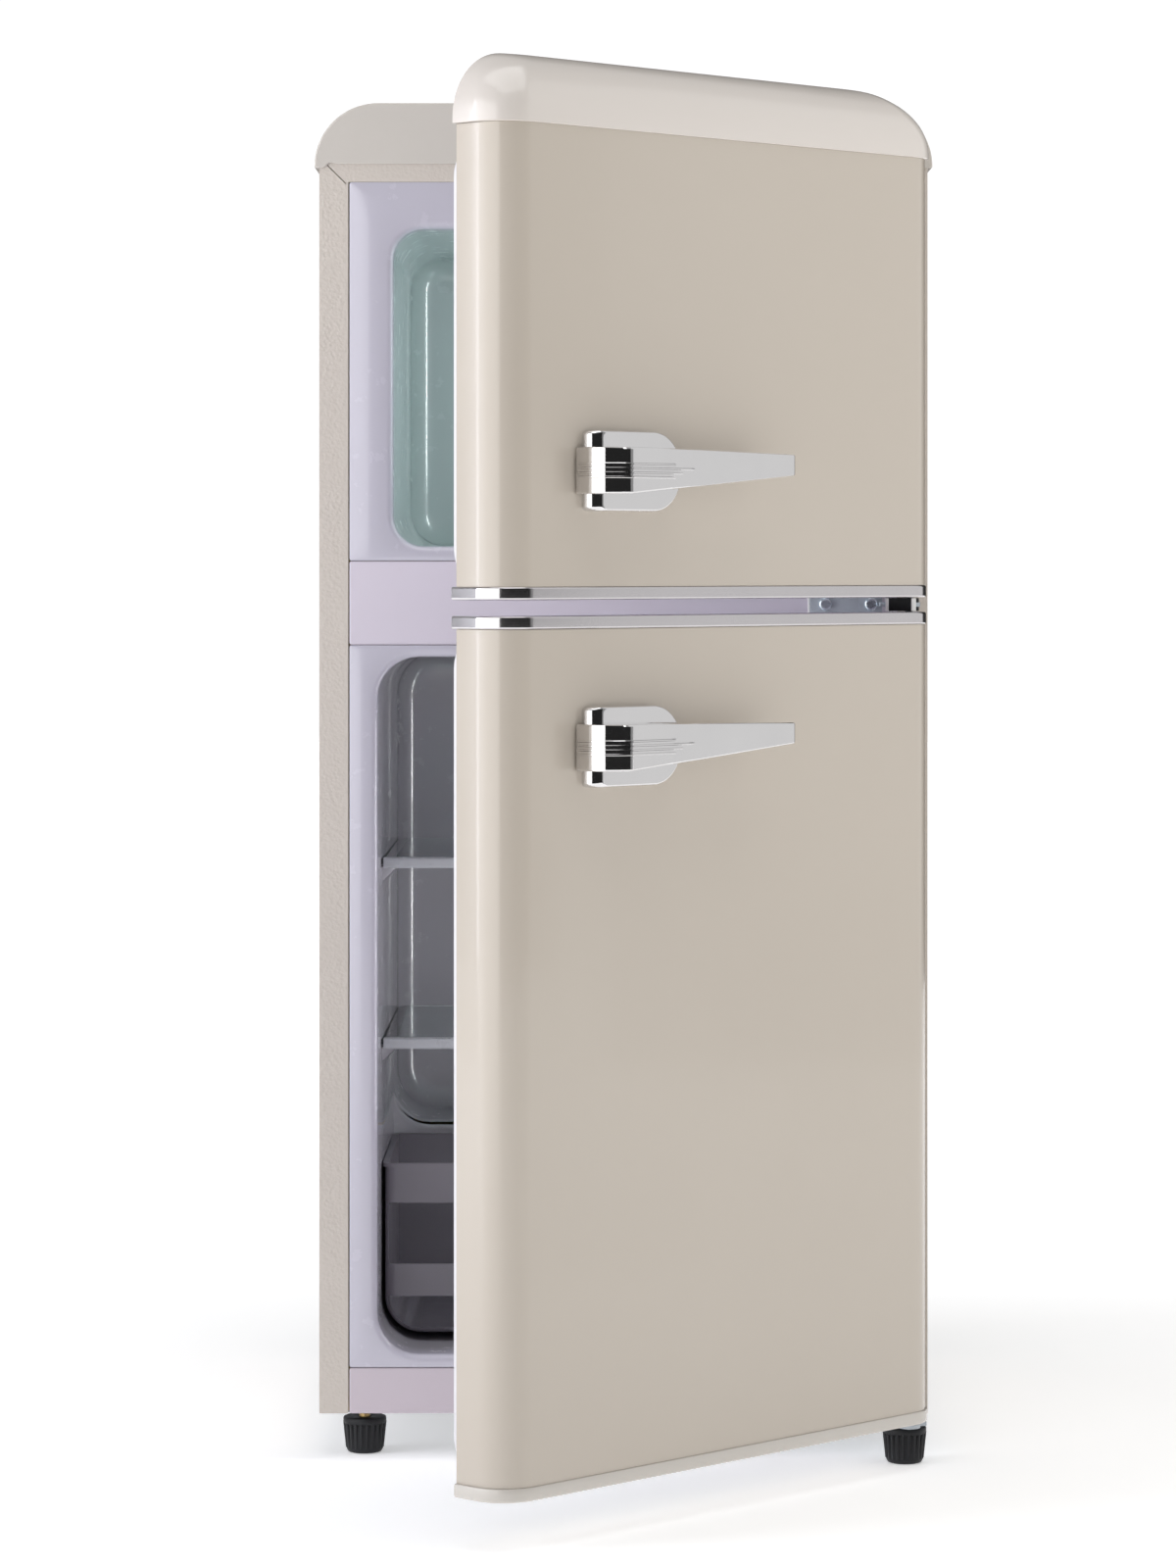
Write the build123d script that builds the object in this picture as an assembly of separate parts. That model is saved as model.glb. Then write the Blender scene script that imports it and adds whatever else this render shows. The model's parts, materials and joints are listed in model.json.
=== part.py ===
from build123d import *
import math
import os

# Retro two-door mini fridge, freezer on top.  Millimetres, +Z up from the floor, the doors face -Y,
# hinges on the +X side.  Everything is drawn with the doors closed; the doors are then swung ajar
# about their pins and the whole is moved so that the origin is under the middle of its outline box.

# cabinet
body_w = 440.0            # steel cabinet, side to side
body_d = 420.0            # front flange to back panel
body_z0 = 31.2            # underside of the cabinet
shell_top = 937.0         # steel top, hidden by the moulded cap
total_h = 979.0           # over the cabinet's cap
sheet = 1.0               # steel sheet
flange_w = 21.0           # front return flange of the steel sides
flange_z = 922.0          # lower edge of the top front flange
foam_half = 213.5         # the foam leaves room for the condenser tubes beside it

# cap over the cabinet
cap_w = 447.0
cap_r = 46.0              # corner radius seen from the front
cap_lip = 5.0             # the cap reaches this far below the steel top
cap_wall = 2.5

# compartments
liner_half = 199.0        # half width of the liner frames
liner_t = 1.5
frame_t = 6.0             # thickness of a liner's front frame
freezer_half = 166.7
freezer_z = (658.4, 888.1)
freezer_frame_z = (648.0, flange_z)
freezer_r = 22.0
freezer_depth = 335.0
fridge_half = 178.0
fridge_z = (73.8, 578.4)
fridge_frame_z = (64.5, 587.0)
fridge_r = 30.0
fridge_depth = 350.0
step_z = 214.0            # below this the fridge space is shallower, for the compressor
step_depth = 255.0
lip_r = 5.0               # rolled edge round each opening

# machine space, low at the back
bay_y = 283.0
bay_z = 190.0
rail_t = 2.0

# doors, closed
seal_gap = 10.0           # between cabinet front and door back
door_t = 45.0
door_r = 26.0             # rounding of the upright front edges
skin_t = 1.0
ajar = 46.0               # how far both doors stand open, degrees
open_max = 120.0
freezer_door_z = (622.0, 984.0)     # its cap stands a little above the cabinet
fridge_door_z = (33.0, 611.5)
cap_seam = 934.8          # top of the freezer door's steel skin
trim_h = 8.7              # chrome strips that face the gap between the doors
band_h = 9.3              # moulded band under the fridge door
front_roll = 45.0         # rounding of the freezer door cap, front to top
field_depth = 14.0        # the raised field of a door's inner panel stands this far behind the door
freezer_field = (152.0, 44.0)     # half width, margin above and below
fridge_field = (168.0, 42.0)
freezer_bin = (690.0, 734.0, 148.0, 40.0)   # z range, half width, depth
fridge_bins = ((120.0, 166.0, 167.0, 48.0), (414.0, 466.0, 167.0, 48.0))

# hinge axis
pin_x = body_w / 2 - 16.0
pin_y = -40.0
pin_r = 3.0
pin_fit = 0.05
arm_half = 8.0            # half width of a hinge arm
arm_t = 3.0

# handles
handle_z = {"freezer": 707.3, "fridge": 524.6}
lever_root_x = body_w / 2 - 375.0
lever_tip_x = body_w / 2 - 190.5
lever_out = 33.0          # front of the lever from the door's face
lever_t = 6.0
base_x = (body_w / 2 - 368.0, body_w / 2 - 282.0)
base_h = 53.6
base_out = 11.0
root_h = 31.0
lever_arc_r = 22.0        # the root turns into the free lever through this arc
lever_tip_z = (-1.2, 12.9)    # lower and upper edge of the tip from the handle's middle
rib_h = 1.5
rib_pitch = 2.9
rib_proud = 0.7

# feet
foot_h = 26.0
foot_r = (12.9, 15.7)     # bottom, rim
left_foot = (-188.0, 22.0)
right_foot = (202.0, -20.0)
stud_r = 4.0
rear_feet_x = 178.0
rear_feet_y = 386.0

door_back = -seal_gap
door_front = door_back - door_t
half = body_w / 2


# ---------- small helpers ----------

def box(x0, x1, y0, y1, z0, z1):
    return Pos((x0 + x1) / 2, (y0 + y1) / 2, (z0 + z1) / 2) * Box(x1 - x0, y1 - y0, z1 - z0)


def post(x, y, z0, z1, r):
    return Pos(x, y, (z0 + z1) / 2) * Cylinder(r, z1 - z0)


def bar_y(x, y0, y1, z, r):
    return Pos(x, (y0 + y1) / 2, z) * Rot(90, 0, 0) * Cylinder(r, y1 - y0)


def front_plane(x, y, z):
    return Plane(origin=(x, y, z), x_dir=(1, 0, 0), z_dir=(0, 1, 0))


def round_block(x_half, y0, y1, z0, z1, r, x_mid=0.0):
    # block with its four fore-and-aft edges rounded
    outline = RectangleRounded(2 * x_half, z1 - z0, r)
    return extrude(front_plane(x_mid, y0, (z0 + z1) / 2) * outline, amount=y1 - y0)


def group(shapes):
    # separate solids kept in one node
    return Compound([solid for shape in shapes for solid in shape.solids()])


def tube(points, radii, r):
    # straight runs joined by tangent arcs, swept with a round section
    path = FilletPolyline(*points, radius=radii)
    return sweep(Plane(origin=path @ 0, z_dir=path % 0) * Circle(r), path=path)


# ---------- cabinet ----------

def cabinet_shell():
    # one sheet bent over both sides and the top, with return flanges round the front
    outer = box(-half, half, 0, body_d - sheet, body_z0, shell_top)
    inner = box(-half + sheet, half - sheet, sheet, body_d, body_z0 - 1, shell_top - sheet)
    window = box(-half + flange_w, half - flange_w, -1, sheet + 1, body_z0 - 1, flange_z)
    shell = outer - inner - window
    for side in (-1, 1):
        # mitred joint where the side flange meets the top flange
        mitre = Pos(side * (half - flange_w / 2), 0, flange_z + flange_w / 2 - 3) * Rot(0, side * 45, 0)
        shell -= mitre * Box(0.6, 2.2, flange_w + 4)
    return shell


def top_cap():
    def section(inset, z0):
        outline = Rectangle(cap_w - 2 * inset, total_h - inset - z0)
        face = front_plane(0, 0, (total_h - inset + z0) / 2) * outline
        upper = face.vertices().sort_by(Axis.Z)[-2:]
        return fillet(upper, cap_r - inset)

    z0 = shell_top - cap_lip
    cap = Pos(0, -1.5, 0) * extrude(section(0, z0), amount=body_d + 3.5)
    hollow = extrude(section(cap_wall, z0 - 4), amount=body_d - cap_wall - 1)
    cap -= Pos(0, 1.5, 0) * hollow
    cap -= box(-half - 0.3, half + 0.3, -2, body_d + 1, z0 - 1, shell_top)
    slot = box(pin_x - arm_half - 2, half - 1, -3, 6, shell_top - 1, shell_top + arm_t + 1.5)
    cap -= slot
    front_lip = box(-half + flange_w / 2, half - flange_w / 2, -1.5, -0.1, z0 + 3, shell_top)
    return cap + front_lip


def back_panel():
    panel = box(-half + sheet + 0.2, half - sheet - 0.2, body_d - sheet, body_d, bay_z + 12, shell_top - 0.2)
    for k in range(-3, 4):
        # shallow stiffening swages, stamped outwards
        swage = Pos(k * 52.0, body_d - 0.1, (bay_z + shell_top) / 2 + 10)
        panel += swage * Rot(90, 0, 0) * extrude(RectangleRounded(14, 620, 6.9), amount=-1.2)
    return panel


def base_pan():
    # bent sheet: floor, riser and roof of the machine space
    inner = half - sheet - 0.1
    t = 1.2
    floor = box(-inner, inner, frame_t + 0.2, bay_y, body_z0, body_z0 + t)
    riser = box(-inner, inner, bay_y - t, bay_y, body_z0, bay_z)
    roof = box(-inner, inner, bay_y - t, body_d - sheet - 0.2, bay_z - t, bay_z)
    rear = box(-inner, inner, body_d - sheet - 0.2 - t, body_d - sheet - 0.2, bay_z - t, bay_z + 11.5)
    nut = Pos(left_foot[0], left_foot[1], body_z0 + t) * extrude(RegularPolygon(9, 6), amount=8)
    pan = floor + riser + roof + rear + nut
    return pan - post(left_foot[0], left_foot[1], body_z0 - 1, body_z0 + 12, stud_r + 0.05)


def freezer_tub(grow):
    return round_block(
        freezer_half + grow, -1 if grow == 0 else 0, freezer_depth + grow,
        freezer_z[0] - grow, freezer_z[1] + grow, freezer_r + grow)


def fridge_tub(grow):
    front = -1 if grow == 0 else 0
    x_half, z1, r = fridge_half + grow, fridge_z[1] + grow, fridge_r + grow
    upper = round_block(x_half, front, fridge_depth + grow, step_z - grow, z1, r)
    whole = round_block(x_half, front, step_depth + grow, fridge_z[0] - grow, z1, r)
    return upper + whole


def rolled(liner, x_half, z_range):
    # softens the front edge of the opening
    edges = liner.edges().filter_by_position(Axis.Y, -0.01, 0.01)
    rim = [
        e for e in edges
        if abs(e.center().X) <= x_half + 0.5 and z_range[0] - 0.5 <= e.center().Z <= z_range[1] + 0.5
    ]
    return fillet(rim, lip_r)


def ledge(side, z, y0, y1):
    # moulded support with a sloping underside, standing in from a side wall
    wall = side * (fridge_half + 0.5)
    points = [(wall, z), (wall - side * 11, z), (wall - side * 11, z - 3), (wall, z - 15)]
    section = make_face(Polyline(*points, close=True))
    return extrude(Plane(origin=(0, y0, 0), x_dir=(1, 0, 0), z_dir=(0, -1, 0)) * section, amount=y0 - y1)


shelf_z = (424.0, 291.0)      # undersides of the two glass shelves
shelf_y = (64.0, 344.0)


def fridge_liner():
    frame = box(-liner_half, liner_half, 0, frame_t, *fridge_frame_z)
    liner = frame + fridge_tub(liner_t) - fridge_tub(0)
    liner = rolled(liner, fridge_half, fridge_z)
    for z in shelf_z:
        for side in (-1, 1):
            liner += ledge(side, z, shelf_y[0] + 8, shelf_y[1])
    return liner


def freezer_liner():
    frame = box(-liner_half, liner_half, 0, frame_t, *freezer_frame_z)
    return rolled(frame + freezer_tub(liner_t) - freezer_tub(0), freezer_half, freezer_z)


evaporator_half = 148.0
evaporator_z = {"freezer": (684.0, 866.0), "fridge": (264.0, 556.0)}
stiffener_x = (-170.0, 195.0)
stiffener_z = (598.0, 636.0)
stiffener_t = 2.5


def cabinet_foam():
    y1, z1 = body_d - sheet - 0.1, shell_top - sheet - 0.1
    block = box(-foam_half, foam_half, frame_t + 0.1, y1, body_z0 + 1.4, z1)
    bay = box(-half, half, bay_y - 1.3, body_d, body_z0, bay_z + 0.1)
    foam = block - bay - freezer_tub(liner_t) - fridge_tub(liner_t)
    for name, depth in (("freezer", freezer_depth), ("fridge", fridge_depth)):
        z0, z1 = evaporator_z[name]
        foam -= box(-evaporator_half - 2, evaporator_half + 2, depth, depth + 3.2, z0 - 4, z1 + 4)
    # room for the base pan's rear flange, the beam stiffener and the left foot's nut and stud
    foam -= box(-foam_half, foam_half, body_d - 4, body_d, bay_z, bay_z + 14)
    foam -= box(stiffener_x[0] - 5, stiffener_x[1] + 5, 0, 12, stiffener_z[0] - 2, stiffener_z[1] + 2)
    return foam - post(left_foot[0], left_foot[1], body_z0, body_z0 + 30, 12)


mid_screw_x = (146.0, 179.0)   # screws of the middle hinge
mid_screw_z = 616.6


def mid_beam_panel():
    panel = box(-liner_half, liner_half, 0, frame_t, fridge_frame_z[1] + 0.3, freezer_frame_z[0] - 0.3)
    for x in mid_screw_x:
        panel -= bar_y(x, -1, 8, mid_screw_z, 2.6)
    return panel


def mid_beam_stiffener():
    beam = box(*stiffener_x, frame_t + 0.2, frame_t + 0.2 + stiffener_t, *stiffener_z)
    for x in mid_screw_x:
        beam -= bar_y(x, 0, 20, mid_screw_z, 2.1)
    return beam


def bottom_front_panel():
    return box(-liner_half, liner_half, 0, frame_t, body_z0, fridge_frame_z[0] - 0.4)


def evaporator(depth, z0, z1):
    # pressed aluminium plate against the back of a liner, with its refrigerant channels raised
    y = depth + liner_t + 0.05
    x = evaporator_half
    plate = box(-x, x, y, y + 1, z0, z1)
    channels = 4
    for k in range(channels):
        z = z0 + (z1 - z0) * (k + 0.5) / channels
        plate += box(13 - x, x - 13, y + 1, y + 1.55, z - 4, z + 4)
    return plate


def condenser_tubes():
    # long runs of tube taped inside each steel side
    run_z = (250.0, 880.0)
    runs, pitch, first_y = 8, 48.0, 40.0
    tube_r = 2.3
    tubes = []
    for side in (-1, 1):
        x = side * (half - sheet - tube_r - 0.3)
        points = []
        for k in range(runs):
            ends = run_z if k % 2 == 0 else run_z[::-1]
            points += [(x, first_y + k * pitch, z) for z in ends]
        tubes.append(tube(points, 20.0, tube_r))
    return group(tubes)


# ---------- machine space ----------

pump_x, pump_y = 30.0, 352.0
pump_z = 47.0
rail_y = (300.0, 412.0)
pump_feet = [(pump_x + sx * 75, pump_y + sy * 38) for sx in (-1, 1) for sy in (-1, 1)]


def machine_rail():
    # cross plate that carries the compressor and the rear feet
    inner = half - sheet - 0.2
    rail = box(-inner, inner, *rail_y, body_z0, body_z0 + rail_t)
    rail += box(-inner, inner, rail_y[0], rail_y[0] + rail_t, body_z0, body_z0 + 10)
    rail += box(-inner, inner, rail_y[1] - rail_t, rail_y[1], body_z0, body_z0 + 10)
    for x, y in pump_feet:
        rail -= post(x, y, body_z0 - 1, body_z0 + 5, 3.1)
    for side in (-1, 1):
        rail -= post(side * rear_feet_x, rear_feet_y, body_z0 - 1, body_z0 + 5, 3.1)
    return rail


def compressor():
    body = post(pump_x, pump_y, pump_z, pump_z + 112, 56)
    body = fillet(body.edges().filter_by(GeomType.CIRCLE).sort_by(Axis.Z)[-1], 34)
    body = fillet(body.edges().filter_by(GeomType.CIRCLE).sort_by(Axis.Z)[0], 20)
    body += post(pump_x, pump_y, pump_z + 52, pump_z + 58, 59)
    plate = Pos(pump_x, pump_y, pump_z - 1) * extrude(RectangleRounded(172, 96, 12), amount=3)
    for x, y in pump_feet:
        plate -= post(x, y, pump_z - 3, pump_z + 5, 5.2)
    return body + plate


def compressor_grommets():
    grommets = []
    for x, y in pump_feet:
        low = post(x, y, body_z0 + rail_t, pump_z - 1, 9)
        neck = post(x, y, pump_z - 1.5, pump_z + 2.5, 5)
        head = post(x, y, pump_z + 2, pump_z + 5, 8)
        grommets.append(low + neck + head - post(x, y, 0, 100, 3.1))
    return group(grommets)


def compressor_bolts():
    bolts = []
    for x, y in pump_feet:
        bolt = post(x, y, body_z0 - 2.5, pump_z + 8, 3)
        bolt += post(x, y, pump_z + 5.2, pump_z + 9, 5.5)
        bolts.append(bolt)
    return group(bolts)


def relay_cover():
    cover = box(pump_x + 60, pump_x + 96, pump_y - 24, pump_y + 24, pump_z + 34, pump_z + 88)
    return fillet(cover.edges().filter_by(Axis.X), 5)


def cord_gland():
    x = pump_x + 78
    gland = bar_y(x, pump_y + 24, pump_y + 38, pump_z + 50, 8)
    gland += bar_y(x, pump_y + 38, pump_y + 50, pump_z + 50, 6)
    return gland - bar_y(x, pump_y + 26, pump_y + 60, pump_z + 50, 3.4)


def drip_tray():
    x0, x1 = pump_x - 52, pump_x + 40
    z0 = pump_z + 113.5
    tray = box(x0, x1, pump_y - 50, pump_y + 50, z0, z0 + 24)
    return tray - box(x0 + 2, x1 - 2, pump_y - 48, pump_y + 48, z0 + 2, z0 + 30)


def filter_drier():
    x, y = -120.0, 330.0
    body = post(x, y, 80, 150, 9.5)
    body += Pos(x, y, 155) * Cone(9.5, 3.2, 10)
    body += Pos(x, y, 75) * Cone(3.2, 9.5, 10)
    body += post(x, y, 160, 166, 3.2)
    return body + post(x, y, 64, 70, 3.2)


def suction_tube():
    z = pump_z + 70
    points = [
        (-70, bay_y + 0.1, 165), (-70, 312, 165), (-70, 345, 150), (-70, 352, z), (pump_x - 56.3, 352, z)]
    return tube(points, [12, 10, 14], 3.5)


def discharge_tube():
    z = pump_z + 28
    points = [(pump_x - 55.6, 340, z), (-60, 340, z), (-100, 340, 58), (-120, 330, 52), (-120, 330, 63.9)]
    return tube(points, [12, 10, 5], 2.6)


def liquid_tube():
    points = [
        (-120, 330, 166.1), (-120, 330, 176), (-150, 330, 178), (-170, 310, 170), (-170, bay_y + 0.1, 170)]
    return tube(points, [4.5, 9, 12], 1.6)


# ---------- inside the fridge ----------

def glass_shelf(z):
    return box(-176, 176, *shelf_y, z, z + 4)


def shelf_trim(z):
    trim = box(-176, 176, shelf_y[0] - 7, shelf_y[0] + 6, z - 2, z + 5.6)
    trim -= box(-180, 180, shelf_y[0] - 0.05, shelf_y[0] + 10, z - 0.05, z + 4.05)
    front = trim.edges().filter_by(Axis.X).sort_by(Axis.Y)[:2]
    return fillet(front, 2)


basket_z = (80.0, 205.0)
basket_y = (58.0, 246.0)
basket_gaps = ((84.0, 107.5), (131.0, 176.0))


def crisper_basket():
    # open front: two bars across it, the lower gap runs down to the floor of the basket
    x, wall = 175.0, 3.0
    y0, y1 = basket_y
    z0, z1 = basket_z
    keep = box(-x, x, y0, y1, z0, z1)
    tub = round_block(x, y0, y1, z0, z1 + 60, 27) & keep
    tub = fillet(tub.edges().filter_by(Axis.Z), 8)
    hollow = round_block(x - wall, y0 - 1, y1 - wall, z0 + wall, z1 + 60, 24)
    tub -= hollow & box(-x, x, y0 + wall, y1, z0, z1 + 60)
    for low, high in basket_gaps:
        tub -= hollow & box(-x, x, y0 - 1, y0 + wall + 1, low, high)
    rim = box(-x - 1.5, x + 1.5, y0, y1, z1 - wall, z1)
    rim = fillet(rim.edges().filter_by(Axis.Z), 8)
    return tub + (rim - (hollow & box(-x, x, y0 + wall, y1, z0, z1 + 60)))


knob_at = (88.0, 196.0)      # centre of the thermostat dial, X and Y
box_under = 536.0


def thermostat_housing():
    top = fridge_z[1] - 0.1
    body = box(40, 136, 150, 340, box_under, top)
    body = fillet(body.edges().filter_by(Axis.Z), 10)
    body -= post(knob_at[0], knob_at[1], box_under - 1, box_under + 4, 17)
    body -= post(knob_at[0], knob_at[1], box_under, box_under + 14, 3.05)
    return body - box(54, 122, 240, 322, box_under - 1, box_under + 20)


def thermostat_knob():
    x, y = knob_at
    knob = post(x, y, box_under - 9, box_under + 3, 15)
    knob = fillet(knob.edges().filter_by(GeomType.CIRCLE).sort_by(Axis.Z)[0], 1.5)
    knob += post(x, y, box_under + 2, box_under + 12, 3)
    return knob + box(x - 2.5, x + 2.5, y - 14, y + 14, box_under - 15, box_under - 8)


def lamp_lens():
    lens = box(54.3, 121.7, 240.3, 321.7, box_under - 2, box_under + 1)
    return lens + box(58, 118, 244, 318, box_under, box_under + 4)


# ---------- hinges ----------

def hinge_arm(z0, y1, x0, x1):
    # flat plate on the cabinet with an arm that ends round over the pin
    arm = box(pin_x - arm_half, pin_x + arm_half, pin_y, y1, z0, z0 + arm_t)
    arm += post(pin_x, pin_y, z0, z0 + arm_t, arm_half)
    return arm + box(x0, x1, y1 - 1, y1 + 44, z0, z0 + arm_t)


top_screw_x = (162.0, 196.0)
top_screw_y = 34.0
bottom_screw_x = (135.0, 170.0)
bottom_screw_y = 40.0


def top_hinge():
    z0 = shell_top + 0.05
    plate = hinge_arm(z0, 10, 150, pin_x + arm_half)
    for x in top_screw_x:
        plate -= post(x, top_screw_y, z0 - 1, z0 + 5, 2.6)
    return plate - post(pin_x, pin_y, z0 - 1, z0 + 5, pin_r)


def top_hinge_pin():
    return post(pin_x, pin_y, 922, shell_top + arm_t + 1.5, pin_r)


def top_hinge_screws():
    z = shell_top + 0.05 + arm_t
    screws = []
    for x in top_screw_x:
        screws.append(post(x, top_screw_y, z, z + 3, 4.6) + post(x, top_screw_y, z - 3, z + 1, 2.5))
    return group(screws)


mid_z = 615.2            # underside of the middle hinge's arm
mid_stack_z = (612.1, 621.4)   # lower and upper end of the washers and stop blocks on it


def mid_hinge():
    plate = box(135, 187, -2.6, -0.1, 604, 629.5)
    arm = box(184.4, pin_x + arm_half, -14, -0.1, mid_z, mid_z + arm_t)
    arm += box(pin_x - arm_half, pin_x + arm_half, pin_y, -13, mid_z, mid_z + arm_t)
    arm += post(pin_x, pin_y, mid_z, mid_z + arm_t, arm_half)
    arm -= post(pin_x, pin_y, mid_z - 1, mid_z + 5, pin_r)
    for x in mid_screw_x:
        plate -= bar_y(x, -4, 1, mid_screw_z, 2.6)
    return plate + arm


def mid_hinge_pin():
    return post(pin_x, pin_y, 599, 635, pin_r)


def hinge_washers():
    washers = []
    for z0, z1 in ((mid_z + arm_t, mid_stack_z[1]), (mid_stack_z[0], mid_z), (body_z0 + 0.05, 32.4)):
        ring = post(pin_x, pin_y, z0, z1, 7) - post(pin_x, pin_y, z0 - 1, z1 + 1, pin_r)
        washers.append(ring)
    return group(washers)


def mid_hinge_block():
    # black plastic stop that clips over the arm beside the pin
    block = box(pin_x - 15.5, pin_x + 1, pin_y - 10, -17, *mid_stack_z)
    arm = box(pin_x - arm_half - 12, pin_x + 2, pin_y, -10, mid_z - 0.05, mid_z + arm_t + 0.05)
    arm += post(pin_x, pin_y, mid_z - 0.05, mid_z + arm_t + 0.05, arm_half + 0.05)
    return block - arm - post(pin_x, pin_y, mid_stack_z[0] - 1, mid_stack_z[1] + 1, 7.05)


def cross_screw(x, z, y, head_r, r, length):
    # pan head with a cross recess, driven towards +Y
    head = bar_y(x, y - 3, y, z, head_r)
    head = fillet(head.edges().filter_by(GeomType.CIRCLE).sort_by(Axis.Y)[0], 1.6)
    head -= box(x - 2.4, x + 2.4, y - 4, y - 1.6, z - 0.5, z + 0.5)
    head -= box(x - 0.5, x + 0.5, y - 4, y - 1.6, z - 2.4, z + 2.4)
    return head + bar_y(x, y, y + length, z, r)


def mid_hinge_screws():
    return group([cross_screw(x, mid_screw_z, -2.6, 4.8, 2.0, 14) for x in mid_screw_x])


def bottom_hinge():
    z0 = body_z0 - arm_t
    plate = box(120, half - 3, 8, 60, z0, body_z0 - 0.05)
    arm = box(186, half - 3, -34, 9, z0, body_z0 - 0.05)
    nose = box(pin_x - arm_half, pin_x + arm_half, pin_y, -33, z0, body_z0 - 0.05)
    nose += post(pin_x, pin_y, z0, body_z0 - 0.05, arm_half)
    bracket = plate + arm + nose
    bracket -= post(pin_x, pin_y, z0 - 1, body_z0 + 1, pin_r)
    bracket -= post(right_foot[0], right_foot[1], z0 - 1, body_z0 + 1, stud_r + 0.05)
    for x in bottom_screw_x:
        bracket -= post(x, bottom_screw_y, z0 - 1, body_z0 + 1, 2.6)
    return bracket


def bottom_hinge_pin():
    return post(pin_x, pin_y, body_z0 - arm_t - 1, 50, pin_r)


def bottom_hinge_screws():
    z = body_z0 - arm_t
    screws = []
    for x in bottom_screw_x:
        shank = post(x, bottom_screw_y, z - 1, z + arm_t - 0.1, 2.5)
        screws.append(shank + post(x, bottom_screw_y, z - 3, z, 4.6))
    return group(screws)


# ---------- feet ----------

def foot_cup(at):
    x, y = at
    cup = Pos(x, y, foot_h / 2) * Cone(foot_r[0], foot_r[1], foot_h)
    for k in range(18):
        turn = Pos(x, y, 0) * Rot(0, 0, k * 20)
        cup -= turn * Pos(foot_r[1] + 0.9, 0, foot_h / 2) * Rot(0, 6, 0) * Cylinder(1.6, foot_h + 6)
    cup -= post(x, y, foot_h - 14.05, foot_h + 1, stud_r + 0.05)
    return cup - post(x, y, foot_h - 12.05, foot_h - 8.95, 7.05)


def foot_stud(at, top):
    x, y = at
    stud = post(x, y, foot_h - 14, top, stud_r)
    return stud + post(x, y, foot_h - 12, foot_h - 9, 7)


def rear_feet():
    feet = []
    for side in (-1, 1):
        x, y = side * rear_feet_x, rear_feet_y
        foot = Pos(x, y, (body_z0 - 0.05) / 2) * Cone(11, 15, body_z0 - 0.05)
        feet.append(foot + post(x, y, body_z0 - 1, body_z0 + 6, 3))
    return group(feet)


# ---------- doors ----------

def door_face(grow=0.0, side_grow=None, back=0.0):
    # outline of a closed door from above, rounded at the two front edges
    side = grow if side_grow is None else side_grow
    depth = door_t + grow + back
    face = Pos(0, door_back + back - depth / 2) * Rectangle(body_w + 2 * side, depth)
    front = face.vertices().sort_by(Axis.Y)[:2]
    return fillet(front, door_r + grow)


def door_prism(z0, z1, grow=0.0, side_grow=None, back=0.0):
    return Pos(0, 0, z0) * extrude(door_face(grow, side_grow, back), amount=z1 - z0)


def door_skin(z0, z1):
    sheet_ring = door_prism(z0, z1) - door_prism(z0 - 1, z1 + 1, -skin_t, -skin_t, 5)
    lips = box(-half + skin_t, -half + 11, door_back - skin_t, door_back, z0, z1)
    lips += box(half - 11, half - skin_t, door_back - skin_t, door_back, z0, z1)
    return sheet_ring + lips


def swing_wedge(z0, z1):
    # room for a fixed hinge arm inside a door that turns from closed to fully open
    reach = 70.0
    points = [(0.0, 0.0)]
    for k in range(7):
        a = math.radians(90.0 - (open_max + 2) * k / 6)
        points.append((reach * math.cos(a), reach * math.sin(a)))
    wedge = make_face(Polyline(*points, close=True))
    wedge = offset(wedge, amount=arm_half + 1.2)
    return Pos(pin_x, pin_y, z0) * extrude(wedge, amount=z1 - z0)


def dome(inset, z0):
    # rounded from above, from the front and from the side
    top = freezer_door_z[1]
    plan = door_prism(z0, top, 1.2 - inset, (cap_w - body_w) / 2 - inset, -inset)
    width = cap_w - 2 * inset
    height = top - inset - z0
    front = front_plane(0, door_front - 5, z0 + height / 2) * Rectangle(width, height)
    front = fillet(front.vertices().sort_by(Axis.Z)[-2:], min(cap_r - inset, height - 0.5))
    elevation = extrude(front, amount=door_t + 10)
    y0 = door_front - 1.2 + inset
    depth = door_back - y0
    corner = (-half - 10, (y0 + door_back) / 2, z0 + height / 2)
    profile = Plane(origin=corner, x_dir=(0, 1, 0), z_dir=(1, 0, 0)) * Rectangle(depth, height)
    top_front = profile.vertices().sort_by(Axis.Z)[-2:].sort_by(Axis.Y)[0]
    profile = fillet(top_front, front_roll - inset)
    return plan & elevation & extrude(profile, amount=body_w + 20)


def freezer_door_cap():
    cap = dome(0, cap_seam) - dome(cap_wall, cap_seam - 3)
    cap -= swing_wedge(cap_seam + 0.6, shell_top + arm_t + 1.6)
    return max(cap.solids(), key=lambda s: s.volume)


def chrome_trim(z0, z1):
    # strip that wraps the front, both corners and both ends, and turns in over the door's edge
    outer = door_prism(z0, z1, 0.9, 0.9, 3.5)
    inner = door_prism(z0 - 1, z1 + 1, -0.6, -0.6, 8)
    return outer - inner


def end_cap(z0, z1):
    # moulded closing strip inside a chrome trim or over the skin's end
    cap = door_prism(z0, z1, -0.7, -0.7)
    return cap - post(pin_x, pin_y, z0 - 1, z1 + 1, 7.1)


def bottom_band():
    z0, z1 = fridge_door_z[0], fridge_door_z[0] + band_h
    band = door_prism(z0, z1, 1.2, 2.0)
    band = fillet(band.edges().group_by(Axis.Z)[0], 1.5)
    return band - post(pin_x, pin_y, z0 - 1, z1 + 1, 7.1)


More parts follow.
